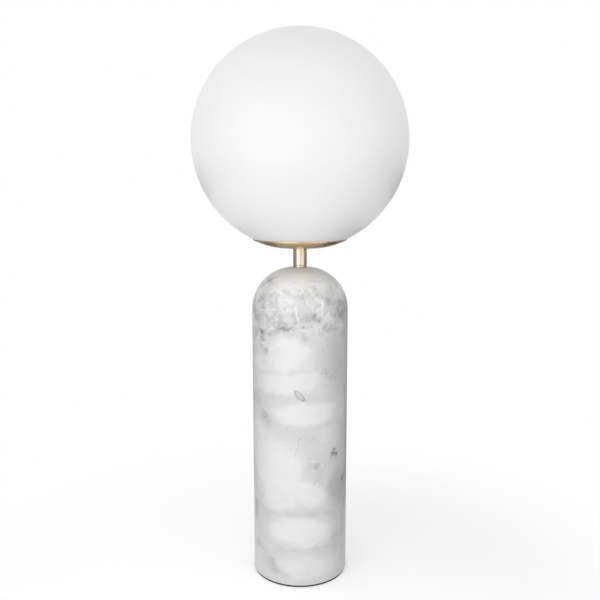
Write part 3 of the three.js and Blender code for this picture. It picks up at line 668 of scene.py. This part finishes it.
def veined_marble():
    """White marble: grey clouds, a broken, crystalline zone, mottled patches, cracks and spots, with painted
    light on the dome's top, a painted highlight on the dome and painted shade down the right side.
    """
    finish = Finish("veined_marble")
    place = finish.place
    x, y, z = place.split()

    # The back carries the front's markings upside down
    back = y.math("GREATER_THAN", y, 0)
    upright = z + back * (STONE_HEIGHT * MM - 2 * z)
    marked = place.joined(x, -1 * abs(y), upright)
    loose = marked.wandering(scale=70, reach=9 * MM, detail=4)
    tight = marked.wandering(scale=330, reach=1.8 * MM, detail=3)

    flow = place.wandering(scale=26, reach=26 * MM, detail=3)
    clouds = flow.noise(scale=24, detail=6, roughness=0.58)
    veils = flow.stretched(1, 1, 3.2).noise(scale=22, detail=5, roughness=0.6)
    smoke = flow.noise(scale=70, detail=6, roughness=0.66)
    mottle = tight.noise(scale=170, detail=5, roughness=0.75)
    grain = place.noise(scale=900, detail=2)

    # Grey stone with clean, paler zones and darker clouds
    ragged = 1.3 * (clouds - 0.5) + 0.9 * (smoke - 0.5)
    # The clean zones carry painted light on the dome, and the clouds painted shade on the right side
    clean_and_painted_light = all_marks(loose, CLEAN_ZONES_AND_PAINTED_LIGHT, 0.5, ragged)
    hazy = 1 - 0.75 * clean_and_painted_light
    lightness = BARE_STONE + CLEAN_AND_PAINTED_LIGHT_GAIN * clean_and_painted_light - all_marks(loose, CLOUDS_AND_PAINTED_SHADE, 0.3, ragged * 0.8)
    haze = CLOUD_CONTRAST * (0.5 - clouds) + SMOKE_CONTRAST * (0.5 - smoke)
    lightness = lightness + hazy * haze + VEIL_CONTRAST * (0.5 - veils)

    # Crystals in the upper third: broken grey fields with paler seams, scratches and dark grains
    upper = upright.rise(*CRYSTALS_START) * upright.rise(*CRYSTALS_END)
    named = all_marks(tight, MOTTLES, 0.1)
    broken = (upper * 0.8).most(named)
    fields = place.wandering(scale=110, reach=3.5 * MM, detail=3).stretched(1, 1, 0.75)
    blocks = [fields.cells(BLOCK_SCALE, feature=feature, distance="CHEBYCHEV") for feature in ("F1", "F2")]
    seams = (blocks[1] - blocks[0]).rise(0.09, 0.0) * smoke.rise(0.40, 0.56)
    facets = fields.cells(BLOCK_SCALE, 1, distance="CHEBYCHEV").split()[0] - 0.5
    scratches = place.stretched(1, 1, 0.16).noise(scale=420, detail=3, roughness=0.6).rise(0.58, 0.74)
    grains = mottle.rise(0.50, 0.66) * smoke.rise(0.40, 0.58)
    speckles = place.cells(scale=420).rise(0.16, 0.08) * mottle.rise(0.40, 0.55)
    texture = SEAM_GAIN * seams + SCRATCH_GAIN * scratches - FACET_CONTRAST * facets
    texture = texture - DARK_GRAIN * grains - SPECKLE * speckles
    lightness = lightness + broken * texture

    # Veins: thin lines where a noise crosses its middle, broken up by another
    crossing = abs(flow.noise(scale=30, detail=4, roughness=0.6) - 0.5)
    veins = crossing.rise(0.02, 0.0) * smoke.rise(0.5, 0.66) * hazy
    streaks = tight.stretched(1, 1, 3.5).noise(scale=150, detail=4, roughness=0.6)
    patches = (named * mottle.rise(0.38, 0.56)).most(all_marks(tight, VEINED, 0.1) * streaks.rise(0.44, 0.58))
    spots = all_marks(tight, SPOTS, 0.2)
    lines = all_marks(tight, line_marks(CRACKS), 0.0)
    pale_lines = all_marks(tight, line_marks(PALE_LINES), 0.2)
    # The white marks carry painted light and a painted highlight on the dome
    pale = (all_marks(tight, WHITE_MARKS_AND_PAINTED_LIGHT, 0.0) * WHITE_MARK_AND_PAINTED_LIGHT_GAIN).most(pale_lines * PALE_LINE_GAIN)
    inward = nearness(tight, LOOP)
    loop = abs(inward - 0.5).rise(0.16, 0.0).most(inward.rise(0.0, 0.6) * 0.15) * LOOP.strength
    bands = all_marks(tight, line_marks(BANDS), 0.3)
    dark = (patches * PATCH).most(spots * SPOT).most(lines * CRACK).most(loop * LOOP_LINE).most(veins * VEIN)
    lightness = lightness - dark - BAND * bands + pale + FINE_GRAIN * (grain - 0.5)
    # The top's white takes a painted cool tint, against the brass's warm reflected light
    white = z.rise(*PAINTED_COOL_HEIGHTS).mixed(STONE_WHITE, PAINTED_COOL_WHITE)

    polish = (patches + broken * 0.3).rise(0, 1)
    return finish.set({
        "Base Color": lightness.mixed(STONE_BLACK, white),
        "Roughness": 0.34 + 0.16 * polish + 0.05 * grain,
        "Normal": grain.bump(distance=0.01 * MM, strength=0.5),
        "IOR": 1.49,
    })


def plated(name, pale, deep, roughness, scale, metallic=1.0, relief=0.01):
    """A plain finish with fine relief: two close shades, cloudy at one scale and grained at another."""
    finish = Finish(name)
    clouds = finish.place.noise(scale=scale, detail=4, roughness=0.6)
    grain = finish.place.noise(scale=scale * 22, detail=3)
    return finish.set({
        "Base Color": (clouds * 0.7 + grain * 0.3).rise(0.3, 0.7).mixed(deep, pale),
        "Metallic": metallic,
        "Roughness": roughness * (0.8 + 0.25 * clouds + 0.15 * grain),
        "Normal": grain.bump(distance=relief * MM, strength=0.7),
    })


def black_foam():
    """Closed-cell foam."""
    finish = Finish("black_foam")
    cells = finish.place.cells(scale=1500)
    dust = finish.place.noise(scale=120, detail=3)
    return finish.set({
        "Base Color": (cells * 0.5 + dust * 0.5).mixed((0.014, 0.014, 0.015), (0.05, 0.05, 0.052)),
        "Roughness": 0.85 + 0.1 * dust,
        "Normal": cells.bump(distance=0.15 * MM, strength=0.6),
    })


def rolled_steel():
    """Spring strip, with the fine lines that rolling leaves."""
    finish = Finish("rolled_steel")
    lines = finish.place.stretched(1, 1, 0.05).noise(scale=3200, detail=3)
    clouds = finish.place.noise(scale=90, detail=3)
    return finish.set({
        "Base Color": (lines * 0.5 + clouds * 0.5).mixed((0.40, 0.40, 0.41), (0.62, 0.62, 0.62)),
        "Metallic": 1.0,
        "Roughness": 0.2 + 0.16 * lines,
        "Normal": lines.bump(distance=0.01 * MM, strength=0.5),
    })


def frosted_glass():
    """A bulb frosted white on the inside."""
    finish = Finish("frosted_glass")
    powder = finish.place.noise(scale=700, detail=4, roughness=0.6)
    clouds = finish.place.noise(scale=40, detail=3)
    return finish.set({
        "Base Color": (powder * 0.3 + clouds * 0.7).mixed((0.83, 0.82, 0.79), (0.92, 0.91, 0.885)),
        "Roughness": 0.22 + 0.08 * powder,
        "Coat Weight": 0.6,
        "Coat Roughness": 0.08,
        "Subsurface Weight": 0.3,
        "Subsurface Scale": 2 * MM,
        "Subsurface Radius": (1.0, 1.0, 1.0),
        "Normal": clouds.bump(distance=0.05 * MM, strength=0.3),
    })


def turned_brass():
    """Free-cutting brass with the lathe's marks."""
    finish = Finish("turned_brass")
    marks = finish.place.stretched(1, 0.1, 1).noise(scale=2400, detail=3)
    tarnish = finish.place.noise(scale=160, detail=4)
    return finish.set({
        "Base Color": (marks * 0.3 + tarnish * 0.7).mixed((0.42, 0.30, 0.11), (0.72, 0.56, 0.26)),
        "Metallic": 1.0,
        "Roughness": 0.22 + 0.2 * tarnish,
        "Normal": marks.bump(distance=0.015 * MM, strength=0.6),
    })


FINISHES = {
    "opal_glass": opal_glass(),
    # The dish and stem are one brass. Their two colour pairs are painted light and shade: the dish's is a
    # warmer, brighter copy, and the stem's a paler, dimmer one that tones down its highlight.
    "dish_brass_painted_light": brushed_brass("dish_brass_painted_light", (0.92, 0.69, 0.41), (0.77, 0.55, 0.31), 0.21),
    "brushed_brass": brushed_brass("brushed_brass", (0.76, 0.65, 0.53), (0.65, 0.53, 0.41), 0.27),
    "white_marble": veined_marble(),
    "black_foam": black_foam(),
    "steel": plated("zinc_plated_steel", (0.62, 0.64, 0.67), (0.46, 0.48, 0.52), 0.38, 140),
    "spring_steel": rolled_steel(),
    "nickel": plated("nickel_plate", (0.74, 0.71, 0.66), (0.60, 0.57, 0.52), 0.24, 110),
    "terminal_brass": turned_brass(),
    "white_plastic": plated("white_plastic", (0.87, 0.86, 0.83), (0.80, 0.79, 0.75), 0.4, 60, 0.0, 0.03),
    "ceramic": plated("steatite", (0.82, 0.79, 0.73), (0.68, 0.64, 0.57), 0.55, 320, 0.0, 0.05),
    "black_plastic": plated(
        "black_plastic", (0.030, 0.030, 0.031), (0.014, 0.014, 0.015), 0.45, 160, 0.0, 0.04
    ),
    "black_glass": plated("black_glass", (0.022, 0.022, 0.026), (0.008, 0.008, 0.010), 0.14, 120, 0.0, 0.02),
    "frosted_glass": frosted_glass(),
    "brown_lead": plated(
        "brown_insulation", (0.13, 0.055, 0.028), (0.075, 0.030, 0.015), 0.42, 260, 0.0, 0.02
    ),
    "blue_lead": plated("blue_insulation", (0.040, 0.14, 0.40), (0.022, 0.085, 0.27), 0.42, 260, 0.0, 0.02),
}


def finish_kept_nodes():
    """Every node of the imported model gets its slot's finish; those that are replaced are hidden anyway."""
    for row in frame["record"]["subparts"]:
        node = frame["nodes"][row["node"]]
        node.data.materials.clear()
        node.data.materials.append(FINISHES[row["material_slot"]])


def make_globe():
    radius = radius_of("glass_globe")
    centre = highest("glass_globe") - radius
    inner = radius - GLOBE_WALL
    mouth = asin(MOUTH_RADIUS / inner)
    outline = Outline(0, centre + inner)
    outline.swing(0, centre, pi - mouth, GLOBE_STEPS, MOUTH_ROUNDING)
    outline.to(radius * sin(mouth), centre - radius * cos(mouth), MOUTH_ROUNDING)
    outline.swing(0, centre, mouth - pi, GLOBE_STEPS)
    globe = outline.turned()
    add_piece("opal_globe", globe, FINISHES["opal_glass"], "globe", "opal_glass", "glass_globe")


def make_dish():
    underside = lowest("globe_dish")
    centre = underside + DISH_BOWL_RADIUS
    rim = asin((radius_of("globe_dish") - DISH_FLOOR_RADIUS) / DISH_BOWL_RADIUS)
    inner = DISH_BOWL_RADIUS - DISH_SHEET
    outline = Outline(PASS_RADIUS, underside)
    outline.to(DISH_FLOOR_RADIUS, underside)
    outline.swing(DISH_FLOOR_RADIUS, centre, -rim, DISH_STEPS, DISH_LIP_ROUNDING)
    lip_height = centre - inner * cos(rim)
    outline.to(radius_of("globe_dish"), lip_height, DISH_LIP_ROUNDING)
    outline.to(DISH_FLOOR_RADIUS + inner * sin(rim), lip_height)
    outline.swing(DISH_FLOOR_RADIUS, centre, rim, DISH_STEPS)
    outline.to(PASS_RADIUS, underside + DISH_SHEET)
    dish = outline.closed().turned()
    add_piece("brass_dish", dish, FINISHES["dish_brass_painted_light"], "stand", "brushed_brass", "globe_dish")


def ring_outline(inner, outer, bottom, top, inner_edge=0, outer_edge=0):
    outline = Outline(inner, bottom, inner_edge)
    outline.to(outer, bottom, outer_edge)
    outline.to(outer, top, outer_edge)
    outline.to(inner, top, inner_edge)
    return outline.closed()


def make_stem():
    radius = radius_of("stem_sleeve")
    low, high = lowest("stem_sleeve"), highest("stem_sleeve")
    groove = low + STEM_GROOVE_HEIGHT
    outline = Outline(PASS_RADIUS, low)
    outline.to(radius, low, STEM_EDGE)
    outline.to(radius, groove - STEM_GROOVE)
    outline.to(radius - STEM_GROOVE, groove)
    outline.to(radius, groove + STEM_GROOVE)
    outline.to(radius, high, STEM_EDGE)
    outline.to(PASS_RADIUS, high)
    stem = outline.closed().turned()
    add_piece("brass_stem", stem, FINISHES["brushed_brass"], "stand", "brushed_brass", "stem_sleeve")


def make_column():
    radius = radius_of("stone_column")
    bottom = lowest("stone_column")
    top = highest("stone_column")
    cover_top = highest("recess_cover")
    outline = Outline(COVER_SEAT_RADIUS, bottom)
    outline.to(radius - COLUMN_EDGE, bottom)
    outline.to(radius, bottom + COLUMN_EDGE)
    outline.to(radius, top - COLUMN_TOP_RADIUS, cuts=COLUMN_HEIGHT_CUTS)
    outline.swing(radius - COLUMN_TOP_RADIUS, top - COLUMN_TOP_RADIUS, -pi / 2, COLUMN_ARC_STEPS)
    outline.to(STONE_BORE, top)
    outline.to(STONE_BORE, RECESS_CEILING)
    outline.to(RECESS_RADIUS, RECESS_CEILING)
    outline.to(RECESS_RADIUS, cover_top)
    outline.to(COVER_SEAT_RADIUS, cover_top)
    column = outline.closed().turned()
    marble = FINISHES["white_marble"]
    piece = add_piece("marble_column", column, marble, "stand", "white_marble", "stone_column")
    outside = radius + BUSHING_FLANGE
    drill(piece, INLET_HOLE_RADIUS, RECESS_RADIUS - BUSHING_FLANGE, outside, INLET_HEIGHT)
    drill(piece, SPOT_FACE_RADIUS, radius - SPOT_FACE_DEPTH, outside, INLET_HEIGHT)


def make_foot():
    outline = Outline(0, lowest("foot_pad"))
    outline.to(radius_of("foot_pad"), lowest("foot_pad"), PAD_EDGE)
    outline.to(radius_of("foot_pad"), highest("foot_pad"), PAD_EDGE)
    outline.to(0, highest("foot_pad"))
    add_piece("foam_pad", outline.turned(), FINISHES["black_foam"], "stand", "black_foam", "foot_pad")


def make_bushing():
    low, high = box("cord_bushing")
    shoulder = high.y - BUSHING_FLANGE
    outline = Outline(BUSHING_BORE, low.y)
    outline.to(BUSHING_BODY_RADIUS, low.y)
    outline.to(BUSHING_BODY_RADIUS, shoulder)
    outline.to(BUSHING_FLANGE_RADIUS, shoulder)
    outline.to(BUSHING_FLANGE_RADIUS, high.y, BUSHING_EDGE)
    outline.to(BUSHING_BORE, high.y, BUSHING_EDGE)
    bushing = outline.closed().turned(SMALL_ROUND)
    bmesh.ops.rotate(bushing, verts=bushing.verts[:], cent=(0, 0, 0), matrix=Matrix.Rotation(-pi / 2, 3, "X"))
    bmesh.ops.translate(bushing, verts=bushing.verts[:], vec=(0, 0, INLET_HEIGHT))
    add_piece("inlet_bushing", bushing, FINISHES["black_plastic"], "stand", "black_plastic", "cord_bushing")


def make_clips():
    """The spacer, the clip plate, and on it the leaf clips with their rivets."""
    rings = (("spacer_ring", "dish_spacer", "steel"), ("clip_disc", "clip_plate", "spring_steel"))
    for name, node, slot in rings:
        span = lowest(node), highest(node)
        ring = ring_outline(PASS_RADIUS, radius_of(node), *span, outer_edge=SHEET_EDGE).turned(SMALL_ROUND)
        add_piece(name, ring, FINISHES[slot], "stand", slot, node)

    plate_top = highest("clip_plate")
    foot = plate_top + CLIP_SHEET / 2
    mouth = lowest("glass_globe") + GLOBE_WALL
    bend_radius = CLIP_FOOT_END + CLIP_BEND_OUT * (CLIP_BEARING - CLIP_FOOT_END)
    bend_height = foot + CLIP_BEND_UP * (mouth - foot)
    tip = plate_top + CLIP_SHEET + CLIP_LEAF_HEIGHT
    for index, angle in enumerate(CLIP_ANGLES, start=1):
        turn = Matrix.Rotation(radians(angle), 3, "Z")
        leaf = Outline(CLIP_FOOT_START, foot)
        leaf.to(CLIP_FOOT_END, foot, CLIP_BEND_ROUNDING)
        leaf.to(bend_radius, bend_height, CLIP_SHEET)
        leaf.to(CLIP_BEARING, mouth, CLIP_SHEET)
        leaf.to(CLIP_BEARING, mouth + GLOBE_WALL / 2, CLIP_SHEET)
        leaf.to(CLIP_BEARING - CLIP_TIP_INSET, tip)
        mesh = leaf.rounded()
        drawn = bmesh.ops.extrude_edge_only(mesh, edges=mesh.edges[:])["geom"]
        far = [part for part in drawn if isinstance(part, bmesh.types.BMVert)]
        bmesh.ops.translate(mesh, verts=far, vec=(0, CLIP_WIDTH, 0))
        bmesh.ops.translate(mesh, verts=mesh.verts[:], vec=(0, -CLIP_WIDTH / 2, 0))
        bmesh.ops.recalc_face_normals(mesh, faces=mesh.faces[:])
        bmesh.ops.rotate(mesh, verts=mesh.verts[:], cent=(0, 0, 0), matrix=turn)
        steel = FINISHES["spring_steel"]
        clip = add_piece(f"leaf_clip_{index}", mesh, steel, "stand", "spring_steel", f"spring_clip_{index}")
        wall = clip.modifiers.new("sheet", "SOLIDIFY")
        wall.thickness = CLIP_SHEET
        wall.offset = 0
        edge = clip.modifiers.new("edges", "BEVEL")
        edge.width = SHEET_EDGE
        edge.segments = 2
        edge.limit_method = "ANGLE"
        edge.angle_limit = radians(60)
        bake_modifiers(clip)

        head = plate_top + CLIP_SHEET
        snap = Outline(0, lowest("clip_plate"))
        snap.to(RIVET_HEAD_RADIUS / 2, lowest("clip_plate"))
        snap.to(RIVET_HEAD_RADIUS / 2, head)
        snap.to(RIVET_HEAD_RADIUS, head)
        dome = (RIVET_HEAD_RADIUS**2 + RIVET_HEAD_HEIGHT**2) / (2 * RIVET_HEAD_HEIGHT)
        snap.swing(0, head + RIVET_HEAD_HEIGHT - dome, -asin(RIVET_HEAD_RADIUS / dome), FILLET_STEPS * 2)
        rivet = snap.turned(TINY_ROUND)
        bmesh.ops.translate(rivet, verts=rivet.verts[:], vec=(RIVET_RADIUS, 0, 0))
        bmesh.ops.rotate(rivet, verts=rivet.verts[:], cent=(0, 0, 0), matrix=turn)
        add_piece(f"snap_rivet_{index}", rivet, FINISHES["nickel"], "stand", "nickel", f"clip_rivet_{index}")


def rib_grip(mesh, radius, low, high):
    """Cuts shallow upright grooves into a round wall, fading out at its two edges."""
    for vert in mesh.verts:
        x, y, z = vert.co
        distance = hypot(x, y)
        if low <= z <= high and abs(distance - radius) < GRIP_DEPTH:
            fade = min(1, (z - low) / MM, (high - z) / MM)
            groove = (1 - cos(GRIP_RIBS * atan2(y, x))) / 2
            scale = 1 - GRIP_DEPTH * fade * groove / distance
            vert.co = (x * scale, y * scale, z)


def make_holder():
    bottom = lowest("holder_cap")
    rim = highest("holder_cap")
    radius = radius_of("holder_cap")
    dome = bottom + HOLDER_NECK_HEIGHT + HOLDER_DOME_RADIUS
    inner_dome = HOLDER_DOME_RADIUS - HOLDER_WALL
    outline = Outline(PASS_RADIUS, bottom)
    outline.to(HOLDER_NECK_RADIUS, bottom, HOLDER_EDGE / 2)
    outline.to(HOLDER_NECK_RADIUS, dome - HOLDER_DOME_RADIUS)
    outline.swing(HOLDER_NECK_RADIUS, dome, -pi / 2, DISH_STEPS)
    outline.to(radius, rim, HOLDER_EDGE / 2)
    outline.to(radius - HOLDER_WALL, rim)
    outline.to(radius - HOLDER_WALL, dome)
    outline.swing(HOLDER_NECK_RADIUS, dome, pi / 2, DISH_STEPS)
    outline.to(PASS_RADIUS, dome - inner_dome)
    cap = outline.closed().turned()
    plastic = FINISHES["white_plastic"]
    piece = add_piece("lampholder_cap", cap, plastic, "stand", "white_plastic", "holder_cap")
    drill(piece, GRUB_HOLE_RADIUS, 0, radius, bottom + HOLDER_NECK_HEIGHT / 2)

    top = highest("holder_shell")
    skirt = rim + HOLDER_SKIRT_HEIGHT
    socket_bottom = lowest("screw_shell")
    outline = Outline(HOLDER_INSERT_RADIUS, rim)
    outline.to(radius, rim, HOLDER_EDGE / 2)
    outline.to(radius, skirt, HOLDER_EDGE, cuts=DISH_STEPS)
    outline.to(HOLDER_SLEEVE_RADIUS, skirt + HOLDER_TAPER_HEIGHT, HOLDER_EDGE)
    outline.to(HOLDER_SLEEVE_RADIUS, top, HOLDER_EDGE)
    outline.to(HOLDER_LIP_RADIUS, top, HOLDER_EDGE)
    outline.to(HOLDER_LIP_RADIUS, top - HOLDER_LIP)
    outline.to(HOLDER_SOCKET_RADIUS, top - HOLDER_LIP)
    outline.to(HOLDER_SOCKET_RADIUS, socket_bottom + CLIP_SHEET)
    outline.to(HOLDER_INSERT_RADIUS, socket_bottom + CLIP_SHEET)
    shell = outline.closed().turned(GRIP_RIBS * FACES_PER_RIB)
    rib_grip(shell, radius, rim + HOLDER_EDGE, skirt - HOLDER_EDGE)
    add_piece("lampholder_shell", shell, FINISHES["white_plastic"], "stand", "white_plastic", "holder_shell")

    outer = radius_of("screw_shell")
    low, high = lowest("screw_shell"), highest("screw_shell")
    outline = Outline(outer - SOCKET_SHEET, low)
    outline.to(outer, low)
    outline.to(outer, high, cuts=THREAD_CUTS)
    outline.to(outer - SOCKET_SHEET, high)
    outline.to(outer - SOCKET_SHEET, low, cuts=THREAD_CUTS)
    socket = outline.turned(SMALL_ROUND)
    cut_thread(socket, low, high, outer - SOCKET_SHEET / 2, SOCKET_THREAD)
    add_piece("screw_socket", socket, FINISHES["nickel"], "stand", "nickel", "screw_shell")


def make_bulb():
    radius = radius_of("bulb_glass")
    centre = highest("bulb_glass") - radius
    cap_bottom, cap_top = lowest("bulb_cap"), highest("bulb_cap")
    shoulder_height = centre - sqrt((radius + BULB_SHOULDER) ** 2 - (BULB_NECK_RADIUS + BULB_SHOULDER) ** 2)
    meeting = asin((BULB_NECK_RADIUS + BULB_SHOULDER) / (radius + BULB_SHOULDER))
    neck_bottom = lowest("bulb_glass") + BULB_STEM_DEPTH + CLIP_SHEET
    neck_centre = BULB_NECK_RADIUS + BULB_SHOULDER
    outline = Outline(BULB_STEM_RADIUS, lowest("bulb_glass"))
    outline.to(BULB_STEM_RADIUS, neck_bottom)
    outline.to(BULB_NECK_RADIUS, neck_bottom, CLIP_SHEET)
    outline.to(BULB_NECK_RADIUS, shoulder_height)
    outline.swing(neck_centre, shoulder_height, pi / 2 - meeting, BULB_STEPS // 2)
    outline.swing(0, centre, meeting - pi, BULB_STEPS)
    inner = radius - BULB_WALL
    outline.to(0, centre + inner)
    outline.swing(0, centre, pi - meeting, BULB_STEPS)
    outline.swing(neck_centre, shoulder_height, meeting - pi / 2, BULB_STEPS // 2)
    outline.to(BULB_NECK_RADIUS - BULB_WALL, neck_bottom + BULB_WALL)
    outline.to(BULB_STEM_RADIUS - BULB_WALL, neck_bottom)
    outline.to(BULB_STEM_RADIUS - BULB_WALL, lowest("bulb_glass"))
    glass = outline.closed().turned()
    add_piece("bulb_envelope", glass, FINISHES["frosted_glass"], "bulb", "frosted_glass", "bulb_glass")

    outer = radius_of("bulb_cap")
    outline = Outline(CONTACT_RADIUS, cap_bottom)
    outline.to(outer - CAP_BEVEL, cap_bottom, CAP_SHEET)
    outline.to(outer, cap_bottom + CAP_BEVEL, CAP_SHEET)
    outline.to(outer, cap_top - CAP_PLAIN_RIM, cuts=THREAD_CUTS)
    outline.to(outer, cap_top)
    outline.to(outer - CAP_SHEET, cap_top)
    outline.to(outer - CAP_SHEET, cap_top - CAP_PLAIN_RIM)
    outline.to(outer - CAP_SHEET, cap_bottom + CAP_BEVEL, cuts=THREAD_CUTS)
    outline.to(outer - CAP_SHEET - CAP_BEVEL, cap_bottom + CAP_SHEET)
    outline.to(CONTACT_RADIUS, cap_bottom + CAP_SHEET)
    cap = outline.closed().turned(SMALL_ROUND)
    cut_thread(cap, cap_bottom + CAP_BEVEL, cap_top - CAP_PLAIN_RIM, outer, CAP_THREAD)
    add_piece("bulb_screw_cap", cap, FINISHES["nickel"], "bulb", "nickel", "bulb_cap")

    bottom, top = lowest("bulb_insulator"), highest("bulb_insulator")
    outline = Outline(0, bottom)
    outline.to(CONTACT_RADIUS, bottom)
    outline.to(radius_of("bulb_insulator"), top - CLIP_SHEET, CLIP_SHEET)
    outline.to(radius_of("bulb_insulator"), top)
    outline.to(0, top)
    glass = outline.turned(SMALL_ROUND)
    add_piece("bulb_black_glass", glass, FINISHES["black_glass"], "bulb", "black_glass", "bulb_insulator")

    bottom, top = lowest("bulb_contact"), highest("bulb_contact")
    outline = Outline(0, bottom)
    outline.to(CONTACT_RADIUS, bottom, CLIP_SHEET)
    outline.to(CONTACT_RADIUS, top)
    outline.to(0, top)
    contact = outline.turned(TINY_ROUND)
    add_piece("bulb_tip_contact", contact, FINISHES["nickel"], "bulb", "nickel", "bulb_contact")


# Studio: a white floor and surround, four soft lights, and seven grey cards beside and behind the lamp.
# A card is either only seen in reflections, which edges glass and brass, or only keeps soft light off.
SKY_LEVEL = 0.72  # of the surround, as a light
FLOOR_SIZE = 12
FLOOR_CLEARANCE = 0.1 * MM
FADE_START = 0.12  # from here outwards the floor turns into the white surround
FADE_END = 0.38
FLOOR_LIFT = 0.32  # glow that takes the open floor to white in view, and lights nothing
AIM = Vector((0, 0, 0.3))
Light = namedtuple("Light", "name place width height power")
LIGHTS = (
    Light("front_left", (-0.9, -1.7, 0.6), 1.55, 1.55, 8.0),
    Light("right", (1.3, -0.5, 0.37), 0.8, 0.5, 0.6),
    Light("low_left", (-0.5, -0.9, 0.12), 1.0, 0.3, 1.0),
    Light("low_right", (0.65, -0.75, 0.12), 1.0, 0.3, 1.0),
)
Card = namedtuple("Card", "name low high grey only_reflected")
CARDS = (
    Card("left_card", (-0.40, -0.22, 0.2), (-0.40, 0.9, 0.34), 0.12, True),
    Card("near_left_card", (-0.13, -0.06, 0), (-0.13, 0.3, 0.25), 0.5, True),
    Card("left_shade", (-0.45, -0.10, 0), (-0.45, 0.9, 0.22), 0.4, False),
    Card("right_card", (0.40, -0.215, 0.2), (0.40, 0.9, 0.34), 0.08, True),
    Card("near_right_card", (0.13, -0.06, 0), (0.13, 0.3, 0.25), 0.1, True),
    Card("right_shade", (0.41, -0.20, 0), (0.41, 0.9, 0.30), 0.04, False),
    Card("back_card", (-0.28, 0.35, 0.002), (0.28, 0.9, 0.002), 0.15, True),
)


def white_rays(wire):
    """1 for what the camera, a reflection or a view through glass sees, and 0 for light itself."""
    added = wire.tree.nodes.new("ShaderNodeLightPath")
    rays = [Wire(wire.tree, added.outputs[f"Is {kind} Ray"]) for kind in ("Camera", "Glossy", "Transmission")]
    return rays[0].most(rays[1]).most(rays[2])


def make_surround():
    world = bpy.data.worlds.new("white_surround")
    bpy.context.scene.world = world
    world.use_nodes = True
    background = world.node_tree.nodes["Background"]
    background.inputs["Color"].default_value = (1, 1, 1, 1)
    start = Wire(world.node_tree, background.outputs[0])
    level = SKY_LEVEL + (1 - SKY_LEVEL) * white_rays(start)
    level.feed(background.inputs["Strength"])


def make_floor():
    finish = Finish("white_floor")
    tree = finish.material.node_tree
    x, y, _ = finish.place.split()
    seen = white_rays(finish.place)
    far = ((x * x + y * y) ** 0.5).rise(FADE_START, FADE_END) * seen
    lift = finish.place.node("Emission", None, {"Color": (1, 1, 1, 1), "Strength": FLOOR_LIFT * seen})
    finish.set({"Base Color": (0.93, 0.93, 0.93), "Roughness": 0.9, "Specular IOR Level": 0.0})
    white = finish.place.node("Emission", None, {"Color": (1, 1, 1, 1), "Strength": 1.0})
    paper = finish.place.node("AddShader", None, {0: Wire(tree, finish.shader.outputs[0]), 1: lift})
    mixed = finish.place.node("MixShader", None, {0: far, 1: paper, 2: white})
    mixed.feed(tree.nodes["Material Output"].inputs["Surface"])
    mesh = bmesh.new()
    bmesh.ops.create_grid(mesh, x_segments=1, y_segments=1, size=FLOOR_SIZE / 2)
    bmesh.ops.translate(mesh, verts=mesh.verts[:], vec=(0, 0, -FLOOR_CLEARANCE))
    add_stage("floor", mesh, finish.material)


def add_stage(name, mesh, material):
    data = bpy.data.meshes.new(name)
    mesh.to_mesh(data)
    mesh.free()
    data.materials.append(material)
    piece = bpy.data.objects.new(name, data)
    bpy.context.scene.collection.objects.link(piece)
    return piece


def make_cards():
    """The grey cards. The camera sees none of them."""
    for card in CARDS:
        finish = Finish(card.name)
        material = finish.set({"Base Color": (card.grey,) * 3, "Roughness": 0.9, "Specular IOR Level": 0.0})
        low, high = Vector(card.low), Vector(card.high)
        size = high - low
        mesh = bmesh.new()
        turn = Matrix.Rotation(pi / 2, 4, "Y" if size.x == 0 else "X") if size.z else Matrix()
        bmesh.ops.create_grid(mesh, x_segments=1, y_segments=1, size=0.5, matrix=turn)
        bmesh.ops.scale(mesh, verts=mesh.verts[:], vec=size)
        bmesh.ops.translate(mesh, verts=mesh.verts[:], vec=(low + high) / 2)
        piece = add_stage(card.name, mesh, material)
        piece.visible_camera = False
        piece.visible_glossy = card.only_reflected
        piece.visible_diffuse = not card.only_reflected
        piece.visible_shadow = not card.only_reflected


def make_lights():
    for light in LIGHTS:
        data = bpy.data.lights.new(light.name, "AREA")
        data.shape = "RECTANGLE"
        data.size = light.width
        data.size_y = light.height
        data.energy = light.power
        lamp = bpy.data.objects.new(light.name, data)
        lamp.location = light.place
        lamp.rotation_euler = (AIM - Vector(light.place)).to_track_quat("-Z", "Y").to_euler()
        lamp.visible_camera = False
        bpy.context.scene.collection.objects.link(lamp)


# Camera, fitted to the photograph's outlines
CAMERA_PLACE = (0, -0.685, 0.3705)
CAMERA_DIP = 8.484  # degrees below level
LENS = 43.59
SENSOR = 36


def make_camera():
    data = bpy.data.cameras.new("camera")
    data.lens = LENS
    data.sensor_width = SENSOR
    camera = bpy.data.objects.new("camera", data)
    camera.location = CAMERA_PLACE
    camera.rotation_euler = (radians(90 - CAMERA_DIP), 0, 0)
    bpy.context.scene.collection.objects.link(camera)
    bpy.context.scene.camera = camera


finish_kept_nodes()
make_globe()
make_dish()
make_stem()
make_column()
make_foot()
make_bushing()
make_clips()
make_holder()
make_bulb()
make_surround()
make_floor()
make_cards()
make_lights()
make_camera()
bpy.context.scene.view_settings.view_transform = "Standard"
